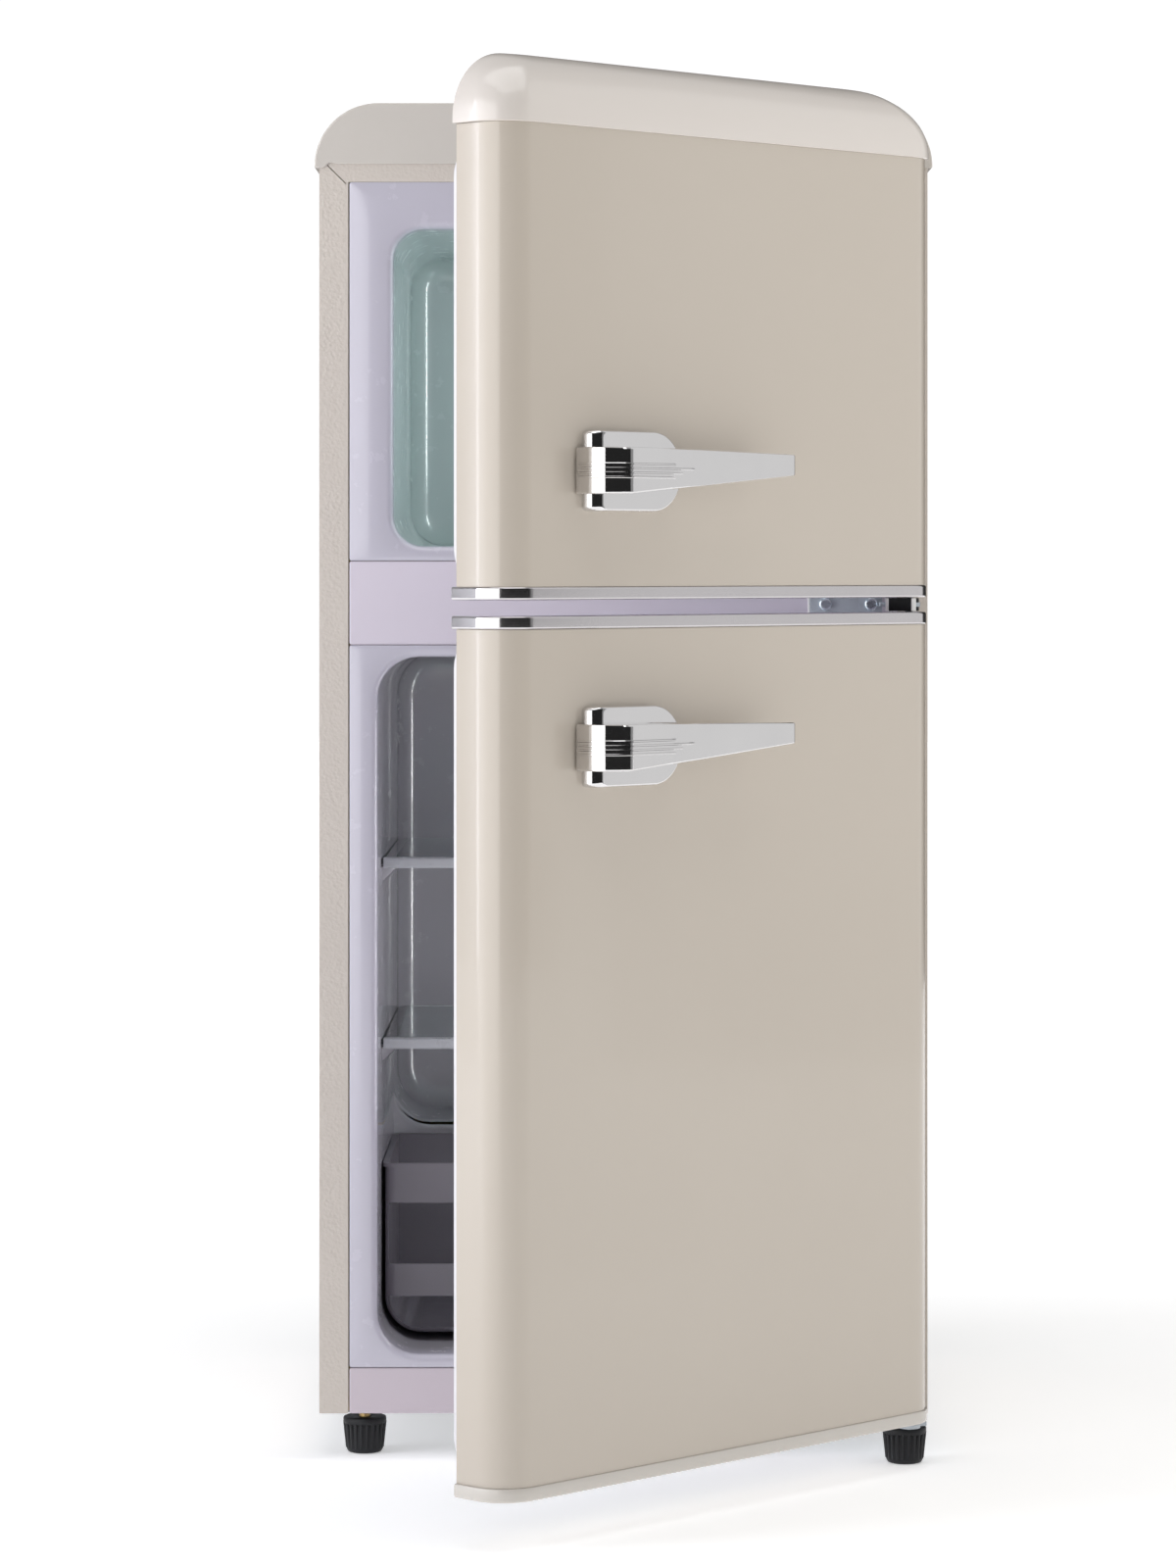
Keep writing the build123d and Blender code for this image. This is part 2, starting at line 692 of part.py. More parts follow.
def door_bushes(z_low, z_high):
    # plastic bearings for the pins, low and high in the door
    bushes = []
    for z0, z1 in (z_low, z_high):
        bush = post(pin_x, pin_y, z0, z1, 7)
        bushes.append(bush - post(pin_x, pin_y, z0 - 1, z1 + 1, pin_r + pin_fit))
    return group(bushes)


def raised_field(field, z_range, inset, start):
    # rounded block over the raised field, made smaller by the inset
    x_half, margin = field
    z0, z1 = z_range[0] + margin + inset, z_range[1] - margin - inset
    y0, y1 = door_back + start, door_back + field_depth - inset
    return round_block(x_half - inset, y0, y1, z0, z1, 14 - inset)


def door_liner(field, z_range, above=0.0):
    # moulded inner panel with a raised field that enters the compartment, and a margin round the gasket
    z0, z1 = z_range
    panel = box(-half + 12, half - 12, door_back - 3, door_back - 1.1, z0, z1 + above)
    panel += box(-half + 20, half - 20, door_back - 3, door_back, z0 + 8, z1 - 8)
    return panel + raised_field(field, z_range, 0, -2) - raised_field(field, z_range, 2, -5)


def door_foam(field, z0, z1, z_range, handle):
    foam = door_prism(z0, z1, -skin_t - 0.05, -skin_t - 0.05, -3.1)
    foam += raised_field(field, z_range, 2.05, -4)
    for x in screw_x:
        foam -= bar_y(x, door_front - 1, door_front + 18, handle, 5)
    return foam - post(pin_x, pin_y, z0 - 1, z0 + 26, 7.1) - post(pin_x, pin_y, z1 - 26, z1 + 1, 7.1)


def gasket(z0, z1):
    # magnetic seal that stops just short of the cabinet when the door is shut
    x_free, x_hinge = -half + 6, half - 13
    mid = (x_free + x_hinge) / 2
    width = (x_hinge - x_free) / 2
    y0, y1 = door_back + 0.1, -0.6
    ring = round_block(width, y0, y1, z0, z1, 9, mid)
    return ring - round_block(width - 15, y0 - 1, y1 + 1, z0 + 15, z1 - 15, 5, mid)


def door_bin(z0, z1, x_half, depth):
    # clear tray that hooks on the raised field of the door's inner panel
    y0 = door_back + field_depth + 0.1
    y1 = y0 - 0.1 + depth
    tray = box(-x_half, x_half, y0, y1, z0, z1)
    outer = tray.edges().filter_by(Axis.Z).sort_by(Axis.Y)[-2:]
    tray = fillet(outer, 10)
    inner = box(-x_half + 2.5, x_half - 2.5, y0 + 2.5, y1 - 2.5, z0 + 2.5, z1 + 1)
    inner_edges = inner.edges().filter_by(Axis.Z).sort_by(Axis.Y)[-2:]
    tray -= fillet(inner_edges, 7.5)
    return tray - box(-x_half + 14, x_half - 14, y0 - 1, y0 + 4, z0 + 14, z1 + 1)


# ---------- handles ----------

screw_x = (base_x[0] + 12, base_x[0] + 46)


def handle_base(z):
    # D-shaped plate, square towards the free edge and round towards the hinge
    x0, x1 = base_x
    r = base_h / 2
    plate = box(x0, x1 - r, door_front - base_out, door_front, z - r, z + r)
    nose = bar_y(x1 - r, door_front - base_out, door_front, z, r)
    base = plate + nose
    y_rim = door_front - base_out
    base = fillet(base.edges().filter_by_position(Axis.Y, y_rim - 0.1, y_rim + 0.1), 3)
    for x in screw_x:
        base -= bar_y(x, door_front - 8, door_front + 1, z, 2.05)
    return base


def lever_face(grow=0.0):
    # seen from above: a deep root over the base that turns through a broad arc into the free lever
    y_base = door_front - base_out - 0.05
    y_side = door_front - 2.0
    y_out = door_front - lever_out - grow
    x_root = lever_root_x - grow
    arc_r = lever_arc_r + grow
    turn = y_out + arc_r
    lines = [
        Line((x_root, y_side), (x_root, turn)),
        RadiusArc((x_root, turn), (x_root + arc_r, y_out), -arc_r),
        Line((x_root + arc_r, y_out), (lever_tip_x - 2, y_out + 2)),
        Line((lever_tip_x - 2, y_out + 2), (lever_tip_x, y_out + 4)),
        Line((lever_tip_x, y_out + 4), (lever_tip_x, y_out + lever_t)),
        Line((lever_tip_x, y_out + lever_t), (base_x[1] - 10, y_out + lever_t)),
        Line((base_x[1] - 10, y_out + lever_t), (base_x[1] - 42, y_base)),
        Line((base_x[1] - 42, y_base), (base_x[0] - 0.3, y_base)),
        Line((base_x[0] - 0.3, y_base), (base_x[0] - 0.3, y_side)),
        Line((base_x[0] - 0.3, y_side), (x_root, y_side)),
    ]
    return make_face(lines)


def handle_lever(z):
    r = root_h / 2
    body = Pos(0, 0, z - r) * extrude(lever_face(), amount=root_h)
    low, high = lever_tip_z
    outline = [
        (lever_root_x - 5, -r), (lever_root_x + lever_arc_r, -r),
        (lever_tip_x, low), (lever_tip_x + 5, low), (lever_tip_x + 5, high), (lever_tip_x, high),
        (lever_root_x + 2 * lever_arc_r, r), (lever_root_x - 5, r),
    ]
    view = Plane(origin=(0, 0, z), x_dir=(1, 0, 0), z_dir=(0, -1, 0))
    taper = extrude(view * make_face(Polyline(*outline, close=True)), amount=120, both=True)
    lever = body & taper
    rib_band = extrude(lever_face(rib_proud), amount=rib_h)
    for k, reach in enumerate((64.0, 70.0, 84.0, 64.0)):
        rib = Pos(0, 0, z + (k - 1.5) * rib_pitch - rib_h / 2) * rib_band
        keep = box(lever_root_x - 2, lever_root_x + reach, door_front - 60, door_front - 3, z - r, z + r)
        lever += rib & keep
    return lever


def handle_screws(z):
    # driven from inside the door, through the skin into the base
    screws = []
    for x in screw_x:
        shank = bar_y(x, door_front - 7.5, door_front + 2, z, 2)
        screws.append(shank + bar_y(x, door_front + skin_t + 0.1, door_front + 4, z, 4.5))
    return group(screws)


# ---------- assembly ----------

def root_nodes():
    return {
        "cabinet_shell": cabinet_shell(),
        "top_cap": top_cap(),
        "back_panel": back_panel(),
        "base_pan": base_pan(),
        "cabinet_foam": cabinet_foam(),
        "freezer_liner": freezer_liner(),
        "fridge_liner": fridge_liner(),
        "mid_beam_panel": mid_beam_panel(),
        "mid_beam_stiffener": mid_beam_stiffener(),
        "bottom_front_panel": bottom_front_panel(),
        "evaporators": group([
            evaporator(freezer_depth, *evaporator_z["freezer"]),
            evaporator(fridge_depth, *evaporator_z["fridge"])]),
        "machine_rail": machine_rail(),
        "compressor": compressor(),
        "compressor_grommets": compressor_grommets(),
        "relay_cover": relay_cover(),
        "cord_gland": cord_gland(),
        "drip_tray": drip_tray(),
        "filter_drier": filter_drier(),
        "refrigerant_tubes": group([condenser_tubes(), suction_tube(), discharge_tube(), liquid_tube()]),
        "glass_shelves": group([glass_shelf(z) for z in shelf_z]),
        "shelf_trims": group([shelf_trim(z) for z in shelf_z]),
        "crisper_basket": crisper_basket(),
        "thermostat_housing": thermostat_housing(),
        "lamp_lens": lamp_lens(),
        "top_hinge": top_hinge(),
        "mid_hinge": mid_hinge(),
        "bottom_hinge": bottom_hinge(),
        "hinge_pins": group([top_hinge_pin(), mid_hinge_pin(), bottom_hinge_pin()]),
        "hinge_spacers": group([hinge_washers(), mid_hinge_block()]),
        "cabinet_fasteners": group(
            [top_hinge_screws(), mid_hinge_screws(), bottom_hinge_screws(), compressor_bolts()]),
        "rear_feet": rear_feet(),
    }


def freezer_door_nodes():
    z0, z1 = freezer_door_z[0], cap_seam
    liner_z = (z0 + 12, 926.0)
    low, high = (z0 + 0.4, z0 + 22), (z1 - 22, z1 - 0.4)
    z = handle_z["freezer"]
    skin = door_skin(z0 + trim_h, z1)
    for x in screw_x:
        skin -= bar_y(x, door_front - 1, door_front + 2, z, 2.1)
    return {
        "freezer_door_skin": skin,
        "freezer_door_cap": freezer_door_cap(),
        "freezer_door_trim": chrome_trim(z0, z0 + trim_h - 0.05),
        "freezer_door_end": end_cap(z0 + 0.3, z0 + trim_h - 0.05),
        "freezer_door_foam": door_foam(freezer_field, z0 + trim_h, z1 - 0.1, liner_z, z),
        "freezer_door_liner": door_liner(freezer_field, liner_z, cap_seam - 0.1 - liner_z[1]),
        "freezer_door_gasket": gasket(633.0, 924.0),
        "freezer_door_bin": door_bin(*freezer_bin),
        "freezer_door_bushes": door_bushes(low, high),
        "freezer_handle_base": handle_base(z),
        "freezer_handle_lever": handle_lever(z),
        "freezer_handle_screws": handle_screws(z),
    }


def fridge_door_nodes():
    z0, z1 = fridge_door_z
    liner_z = (z0 + 12, z1 - 10)
    low, high = (z0 + 0.4, z0 + 24), (z1 - 24, z1 - 0.4)
    z = handle_z["fridge"]
    skin = door_skin(z0 + band_h, z1 - trim_h)
    for x in screw_x:
        skin -= bar_y(x, door_front - 1, door_front + 2, z, 2.1)
    return {
        "fridge_door_skin": skin,
        "fridge_door_band": bottom_band(),
        "fridge_door_trim": chrome_trim(z1 - trim_h + 0.05, z1),
        "fridge_door_end": end_cap(z1 - trim_h + 0.05, z1 - 0.3),
        "fridge_door_foam": door_foam(fridge_field, z0 + band_h + 0.05, z1 - trim_h, liner_z, z),
        "fridge_door_liner": door_liner(fridge_field, liner_z),
        "fridge_door_gasket": gasket(48.0, 600.0),
        "fridge_door_bins": group([door_bin(*sizes) for sizes in fridge_bins]),
        "fridge_door_bushes": door_bushes(low, high),
        "fridge_handle_base": handle_base(z),
        "fridge_handle_lever": handle_lever(z),
        "fridge_handle_screws": handle_screws(z),
    }


def foot_nodes():
    return {
        "left_foot_stud": foot_stud(left_foot, body_z0 + 12),
        "left_foot_cup": foot_cup(left_foot),
        "right_foot_stud": foot_stud(right_foot, body_z0 + 0.6),
        "right_foot_cup": foot_cup(right_foot),
    }


def swung(shape):
    # turned about the hinge axis from closed to ajar
    return Pos(pin_x, pin_y, 0) * Rot(0, 0, ajar) * Pos(-pin_x, -pin_y, 0) * shape


def build_all():
    nodes = root_nodes()
    nodes["thermostat_knob"] = thermostat_knob()
    nodes.update(foot_nodes())
    for name, shape in {**freezer_door_nodes(), **fridge_door_nodes()}.items():
        nodes[name] = swung(shape)
    return nodes


def outline_shift(nodes):
    # from the cabinet's own frame to the middle of the whole outline, on the floor
    boxes = [shape.bounding_box() for shape in nodes.values()]
    x_mid = (min(b.min.X for b in boxes) + max(b.max.X for b in boxes)) / 2
    y_mid = (min(b.min.Y for b in boxes) + max(b.max.Y for b in boxes)) / 2
    return (-x_mid, -y_mid, 0.0)


parts = build_all()
shift = outline_shift(parts)

os.makedirs("parts", exist_ok=True)
for name, shape in parts.items():
    export_step(Pos(*shift) * shape, f"parts/{name}.step")
print("moved by", [round(v, 3) for v in shift])
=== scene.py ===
import json
import math
import bmesh
import bpy
from mathutils import Matrix, Vector

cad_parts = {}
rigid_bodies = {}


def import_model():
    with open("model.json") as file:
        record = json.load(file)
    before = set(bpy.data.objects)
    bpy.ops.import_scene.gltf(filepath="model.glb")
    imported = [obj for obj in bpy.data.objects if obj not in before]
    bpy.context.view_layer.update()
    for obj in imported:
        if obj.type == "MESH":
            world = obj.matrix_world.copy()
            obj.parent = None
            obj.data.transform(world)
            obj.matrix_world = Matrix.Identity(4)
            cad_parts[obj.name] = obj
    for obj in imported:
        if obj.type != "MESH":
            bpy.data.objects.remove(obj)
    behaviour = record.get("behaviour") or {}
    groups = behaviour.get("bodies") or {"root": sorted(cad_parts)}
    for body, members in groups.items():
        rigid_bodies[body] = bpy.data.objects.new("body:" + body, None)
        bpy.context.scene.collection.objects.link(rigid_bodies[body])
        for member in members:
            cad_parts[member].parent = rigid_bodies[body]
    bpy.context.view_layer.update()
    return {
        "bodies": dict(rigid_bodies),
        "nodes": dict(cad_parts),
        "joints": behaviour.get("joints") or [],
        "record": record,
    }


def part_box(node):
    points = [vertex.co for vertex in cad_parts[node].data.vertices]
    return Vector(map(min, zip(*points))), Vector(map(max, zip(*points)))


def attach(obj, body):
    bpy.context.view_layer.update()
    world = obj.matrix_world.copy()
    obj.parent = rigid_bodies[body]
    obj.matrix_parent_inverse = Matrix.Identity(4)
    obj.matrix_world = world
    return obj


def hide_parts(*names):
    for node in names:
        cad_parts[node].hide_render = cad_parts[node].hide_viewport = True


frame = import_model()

print("frame loaded:", len(frame["nodes"]), "nodes")

# pieces are drawn in the cabinet's own frame, in millimetres: X right, Y to the rear from the
# steel front flange, Z up from the floor, doors shut; matrices then take them to their place
shellLow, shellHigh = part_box("cabinet_shell")
doorJoint = next(j for j in frame["joints"] if j["child"] == "freezer_door")
ajar = -doorJoint["range_deg"][0]
pinRow = Vector(doorJoint["pos_m"])
toRow = Matrix.Translation((0, shellLow.y, 0)) @ Matrix.Scale(0.001, 4)
doorSwing = (Matrix.Translation((pinRow.x, pinRow.y, 0)) @ Matrix.Rotation(math.radians(ajar), 4, "Z")
             @ Matrix.Translation((-pinRow.x, -pinRow.y, 0)))
doorRow = doorSwing @ toRow
bodyMatrix = {"cabinet": toRow, "freezer_door": doorRow, "fridge_door": doorRow}
half = shellHigh.x * 1000
pinX, pinY = pinRow.x * 1000, (pinRow.y - shellLow.y) * 1000


def levels(node):
    low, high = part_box(node)
    return low.z * 1000, high.z * 1000


door = {"gap": 10.0, "thick": 45.0, "round": 26.0, "arcSteps": 14}
doorBack = -door["gap"]
doorFront = doorBack - door["thick"]


def arcPoints(cx, cy, rx, ry, a0, a1, steps):
    # points of an elliptical arc, angles in degrees
    out = []
    for k in range(steps + 1):
        a = math.radians(a0 + (a1 - a0) * k / steps)
        out.append((cx + rx * math.cos(a), cy + ry * math.sin(a)))
    return out


def addPiece(name, verts, faces, material, body, slotName=None, nodes=(), bevel=None, sharp=35):
    mesh = bpy.data.meshes.new(name)
    mesh.from_pydata([tuple(v) for v in verts], [], faces)
    mesh.validate()
    mesh.transform(bodyMatrix.get(body, toRow))
    obj = bpy.data.objects.new(name, mesh)
    bpy.context.scene.collection.objects.link(obj)
    tidyMesh(mesh)
    return dress(obj, material, body, slotName, nodes, bevel, sharp)


def tidyMesh(mesh, merge=1e-6):
    bm = bmesh.new()
    bm.from_mesh(mesh)
    bmesh.ops.remove_doubles(bm, verts=bm.verts, dist=merge)
    bmesh.ops.recalc_face_normals(bm, faces=bm.faces)
    bm.to_mesh(mesh)
    bm.free()


def dress(obj, material, body, slotName=None, nodes=(), bevel=None, sharp=35):
    obj.data.materials.clear()
    obj.data.materials.append(material)
    obj.data.shade_smooth()
    obj.data.set_sharp_from_angle(angle=math.radians(sharp))
    if bevel:
        width, segments = bevel
        mod = obj.modifiers.new("edges", "BEVEL")
        mod.width = width * 0.001
        mod.segments = segments
        mod.limit_method = "ANGLE"
        mod.angle_limit = math.radians(sharp)
        mod.harden_normals = True
        mod.use_clamp_overlap = True
    if slotName == "chrome":
        flats = obj.modifiers.new("flats", "WEIGHTED_NORMAL")
        flats.keep_sharp = True
    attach(obj, body)
    if nodes:
        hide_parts(*nodes)
    return obj


def prism(outline, axis, start, end):
    # a closed outline pushed along one axis; outline points are the other two axes in X, Y, Z order
    def lift(p, h):
        if axis == "x":
            return (h, p[0], p[1])
        if axis == "y":
            return (p[0], h, p[1])
        return (p[0], p[1], h)
    n = len(outline)
    verts = [lift(p, start) for p in outline] + [lift(p, end) for p in outline]
    faces = [tuple(range(n)), tuple(range(2 * n - 1, n - 1, -1))]
    faces += [(k, k + n, (k + 1) % n + n, (k + 1) % n) for k in range(n)]
    return verts, faces


def loft(rings, closeStart=True, closeEnd=True):
    # skin through rings of equal length
    n = len(rings[0])
    verts = [v for ring in rings for v in ring]
    faces = []
    for i in range(len(rings) - 1):
        for k in range(n):
            a, b = i * n + k, i * n + (k + 1) % n
            faces.append((a, b, b + n, a + n))
    if closeStart:
        faces.append(tuple(range(n - 1, -1, -1)))
    if closeEnd:
        last = (len(rings) - 1) * n
        faces.append(tuple(range(last, last + n)))
    return verts, faces


def boxMesh(x0, x1, y0, y1, z0, z1):
    return prism([(x0, y0), (x1, y0), (x1, y1), (x0, y1)], "z", z0, z1)


def joined(*meshes):
    verts, faces = [], []
    for v, f in meshes:
        base = len(verts)
        verts += v
        faces += [tuple(i + base for i in face) for face in f]
    return verts, faces


def roundRect(x0, x1, y0, y1, r, steps=8):
    out = arcPoints(x1 - r, y0 + r, r, r, -90, 0, steps)
    out += arcPoints(x1 - r, y1 - r, r, r, 0, 90, steps)
    out += arcPoints(x0 + r, y1 - r, r, r, 90, 180, steps)
    return out + arcPoints(x0 + r, y0 + r, r, r, 180, 270, steps)


def doorOutline(grow=0.0, side=None, back=0.0, corner=None):
    # the shut door from above, counter-clockwise from the rear right corner round to the rear left
    side = grow if side is None else side
    corner = corner or (door["round"] + grow, door["round"] + grow)
    x, y0, y1 = half + side, doorFront - grow, doorBack + back
    rx, ry = corner
    pts = [(-x, y1)]
    pts += arcPoints(-x + rx, y0 + ry, rx, ry, 180, 270, door["arcSteps"])
    pts += arcPoints(x - rx, y0 + ry, rx, ry, 270, 360, door["arcSteps"])
    return pts + [(x, y1)]


slotOf = {s["node"]: s["material_slot"] for s in frame["record"]["subparts"]}


def cadCopy(name, node, material, body, bevel=None, sharp=30):
    # a CAD node's shape as one clean mesh with softened edges
    mesh = frame["nodes"][node].data.copy()
    bm = bmesh.new()
    bm.from_mesh(mesh)
    bmesh.ops.remove_doubles(bm, verts=bm.verts, dist=2e-6)
    bmesh.ops.dissolve_limit(bm, angle_limit=math.radians(1.0), verts=bm.verts, edges=bm.edges)
    bm.to_mesh(mesh)
    bm.free()
    obj = bpy.data.objects.new(name, mesh)
    bpy.context.scene.collection.objects.link(obj)
    return dress(obj, material, body, slotOf[node], [node], bevel, sharp)


class Wire:
    # a shader socket that can be added, multiplied and so on
    def __init__(self, tree, socket=None):
        self.tree, self.socket = tree, socket

    def add(self, kind, settings=None, sockets=None, output=0):
        node = self.tree.nodes.new(kind)
        for key, value in (settings or {}).items():
            setattr(node, key, value)
        for key, value in (sockets or {}).items():
            if isinstance(value, Wire):
                self.tree.links.new(value.socket, node.inputs[key])
            else:
                node.inputs[key].default_value = value
        return Wire(self.tree, node.outputs[output])

    def maths(self, operation, a, b):
        return self.add("ShaderNodeMath", {"operation": operation}, {0: a, 1: b})

    def __add__(self, other):
        return self.maths("ADD", self, other)

    def __radd__(self, other):
        return self.maths("ADD", other, self)

    def __sub__(self, other):
        return self.maths("SUBTRACT", self, other)

    def __rsub__(self, other):
        return self.maths("SUBTRACT", other, self)

    def __mul__(self, other):
        return self.maths("MULTIPLY", self, other)

    def __rmul__(self, other):
        return self.maths("MULTIPLY", other, self)

    def __truediv__(self, other):
        return self.maths("DIVIDE", self, other)

    def __rtruediv__(self, other):
        return self.maths("DIVIDE", other, self)


def grown(name, sockets, build, material):
    # a repeating shape grown by geometry nodes, handed back as plain points and faces
    tree = bpy.data.node_groups.new(name, "GeometryNodeTree")
    tree.interface.new_socket("Geometry", in_out="OUTPUT", socket_type="NodeSocketGeometry")
    keys = {}
    for key, value in sockets.items():
        kind = "NodeSocketInt" if isinstance(value, int) else "NodeSocketFloat"
        keys[key] = tree.interface.new_socket(key, in_out="INPUT", socket_type=kind).identifier
    source, sink = tree.nodes.new("NodeGroupInput"), tree.nodes.new("NodeGroupOutput")
    w = Wire(tree)
    shape = build(w, {key: Wire(tree, source.outputs[key]) for key in sockets})
    solid = w.add("GeometryNodeRealizeInstances", {}, {"Geometry": shape})
    painted = w.add("GeometryNodeSetMaterial", {}, {"Geometry": solid, "Material": material})
    tree.links.new(painted.socket, sink.inputs[0])
    host = bpy.data.objects.new(name, bpy.data.meshes.new(name))
    bpy.context.scene.collection.objects.link(host)
    mod = host.modifiers.new("grown", "NODES")
    mod.node_group = tree
    for key, value in sockets.items():
        mod[keys[key]] = value
    graph = bpy.context.evaluated_depsgraph_get()
    mesh = bpy.data.meshes.new_from_object(host.evaluated_get(graph), depsgraph=graph)
    verts = [tuple(v.co) for v in mesh.vertices]
    faces = [tuple(f.vertices) for f in mesh.polygons]
    bpy.data.objects.remove(host)
    bpy.data.meshes.remove(mesh)
    return verts, faces


def noiseAt(w, place, scale, detail=3.0, rough=0.5):
    sockets = {"Vector": place, "Scale": scale, "Detail": detail, "Roughness": rough}
    return w.add("ShaderNodeTexNoise", {}, sockets, "Fac")


def mixColour(w, factor, a, b):
    return w.add("ShaderNodeMix", {"data_type": "RGBA"}, {0: factor, 6: a, 7: b}, 2)


def rgba(colour):
    return (*colour, 1.0)


def newMaterial(name, constants, varying):
    # constants go on the shader's own sockets; varying is a function that returns the linked ones
    material = bpy.data.materials.new(name)
    material.use_nodes = True
    tree = material.node_tree
    shader = tree.nodes["Principled BSDF"]
    for key, value in constants.items():
        shader.inputs[key].default_value = value
    w = Wire(tree)
    place = w.add("ShaderNodeTexCoord", output="Object")
    for key, wire in varying(w, place).items():
        tree.links.new(wire.socket, shader.inputs[key])
    return material


def bumpFrom(w, height, strength, distance):
    return w.add("ShaderNodeBump", {}, {"Strength": strength, "Distance": distance, "Height": height})


# gloss enamel and moulded parts of the doors: smooth, a trace of orange peel and faint cloudiness
enamel = {"light": (0.582, 0.520, 0.446), "deep": (0.548, 0.487, 0.416), "rough": 0.16, "peel": 900.0}


def paintedFinish(name, light, deep, rough, peel, strength):
    def varying(w, place):
        cloud = noiseAt(w, place, 5.0, 4.0)
        grain = noiseAt(w, place, peel, 2.0)
        smudge = noiseAt(w, place, 34.0, 5.0, 0.6)
        return {"Base Color": mixColour(w, cloud, rgba(deep), rgba(light)),
                "Roughness": rough + 0.10 * smudge - 0.05 * cloud,
                "Normal": bumpFrom(w, grain, strength, 0.0004)}
    return newMaterial(name, {"Coat Weight": 0.35, "Coat Roughness": 0.06}, varying)


doorEnamel = paintedFinish("doorEnamel", enamel["light"], enamel["deep"], enamel["rough"], enamel["peel"], 0.05)
domeCream = paintedFinish("domeCream", (0.740, 0.685, 0.635), (0.715, 0.660, 0.610), 0.20, 700.0, 0.04)
mouldedCream = paintedFinish("mouldedCream", (0.640, 0.600, 0.550), (0.615, 0.575, 0.525), 0.22, 700.0, 0.04)


# stippled steel of the cabinet sides and flanges
stipple = {"light": (0.640, 0.580, 0.520), "deep": (0.585, 0.528, 0.470), "pitch": 400.0, "depth": 0.60}


def stippledFinish():
    def varying(w, place):
        cells = w.add("ShaderNodeTexVoronoi", {"feature": "SMOOTH_F1"},
                      {"Vector": place, "Scale": stipple["pitch"], "Smoothness": 0.6}, "Distance")
        fine = noiseAt(w, place, stipple["pitch"] * 1.9, 3.0, 0.6)
        cloud = noiseAt(w, place, 7.0, 4.0)
        height = cells * 0.7 + fine * 0.5
        # colour follows the random cloud, and the stipple's dimples are coloured darker too: painted shade in
        # the dimples
        shade = cloud * 0.7 + height * 0.3
        return {"Base Color": mixColour(w, shade, rgba(stipple["deep"]), rgba(stipple["light"])),
                "Roughness": 0.34 + 0.16 * fine,
                "Normal": bumpFrom(w, height, stipple["depth"], 0.0006)}
    return newMaterial("stippledCream", {"Coat Weight": 0.1, "Coat Roughness": 0.25}, varying)


stippledCream = stippledFinish()


def plasticFinish(name, light, deep, rough=0.35, grain=1400.0, strength=0.06, constants=None, spread=0.14):
    def varying(w, place):
        cloud = noiseAt(w, place, 9.0, 4.0)
        fine = noiseAt(w, place, grain, 3.0)
        scuff = noiseAt(w, place, 60.0, 6.0, 0.65)
        return {"Base Color": mixColour(w, cloud, rgba(deep), rgba(light)),
                "Roughness": rough + spread * scuff - 0.05 * cloud,
                "Normal": bumpFrom(w, fine, strength, 0.0003)}
    return newMaterial(name, constants or {}, varying)


linerPale = plasticFinish("linerPale", (0.655, 0.600, 0.675), (0.625, 0.570, 0.645), 0.30)
# the crisper basket is white plastic; its dark colour is painted shade from deep inside the fridge
basketPale = plasticFinish("basketPale", (0.200, 0.185, 0.212), (0.170, 0.157, 0.182), 0.30)
panelPale = plasticFinish("panelPale", (0.595, 0.525, 0.570), (0.565, 0.495, 0.540), 0.30)


def liningWithPaintedLightInside(name, inside, deep):
    # the frame round the opening is pale lilac; the space behind it takes a tint of painted light, painted
    # shade in the fridge and painted teal light in the freezer
    def varying(w, place):
        depth = w.add("ShaderNodeSeparateXYZ", {}, {0: place}, 1)
        # mask for the painted light and shade, rising with depth from the frame to the inside
        back = w.add("ShaderNodeMapRange", {}, {0: depth, 1: shellLow.y + 0.006, 2: shellLow.y + 0.030})
        cloud = noiseAt(w, place, 9.0, 4.0)
        scuff = noiseAt(w, place, 60.0, 6.0, 0.65)
        frameTint = mixColour(w, cloud, (0.530, 0.508, 0.580, 1), (0.556, 0.534, 0.606, 1))
        # the inside colour, which carries the painted light and shade
        tint = mixColour(w, cloud, rgba(deep), rgba(inside))
        fine = noiseAt(w, place, 1400.0, 3.0)
        return {"Base Color": mixColour(w, back, frameTint, tint),
                "Roughness": 0.20 + 0.12 * scuff,
                "Normal": bumpFrom(w, fine, 0.05, 0.0003)}
    return newMaterial(name, {"Coat Weight": 0.7, "Coat Roughness": 0.07}, varying)


# the same pale liner plastic in both spaces: painted teal light inside the freezer, painted shade inside the
# fridge
freezerLiningPaintedTealLight = liningWithPaintedLightInside("freezerLiningPaintedTealLight", (0.480, 0.545, 0.540), (0.430, 0.500, 0.495))
fridgeLiningPaintedShade = liningWithPaintedLightInside("fridgeLiningPaintedShade", (0.430, 0.415, 0.450), (0.380, 0.365, 0.400))
gasketPale = plasticFinish("gasketPale", (0.780, 0.765, 0.790), (0.720, 0.705, 0.735), 0.55, 900.0, 0.12)
bearingWhite = plasticFinish("bearingWhite", (0.82, 0.81, 0.79), (0.76, 0.75, 0.73), 0.4)
blackPlastic = plasticFinish("blackPlastic", (0.016, 0.017, 0.019), (0.010, 0.010, 0.012), 0.42, 900.0, 0.2,
                             {"Specular IOR Level": 0.3})
blackRubber = plasticFinish("blackRubber", (0.028, 0.028, 0.029), (0.018, 0.018, 0.018), 0.62, 700.0, 0.3)
trayWhite = plasticFinish("trayWhite", (0.74, 0.74, 0.71), (0.66, 0.66, 0.62), 0.42)
trimGrey = plasticFinish("trimGrey", (0.56, 0.57, 0.60), (0.48, 0.49, 0.52), 0.24)
foamYellow = plasticFinish("foamYellow", (0.62, 0.50, 0.27), (0.52, 0.40, 0.20), 0.8, 260.0, 0.6)
lampMilk = plasticFinish("lampMilk", (0.86, 0.87, 0.90), (0.80, 0.81, 0.85), 0.3, 500.0, 0.2)


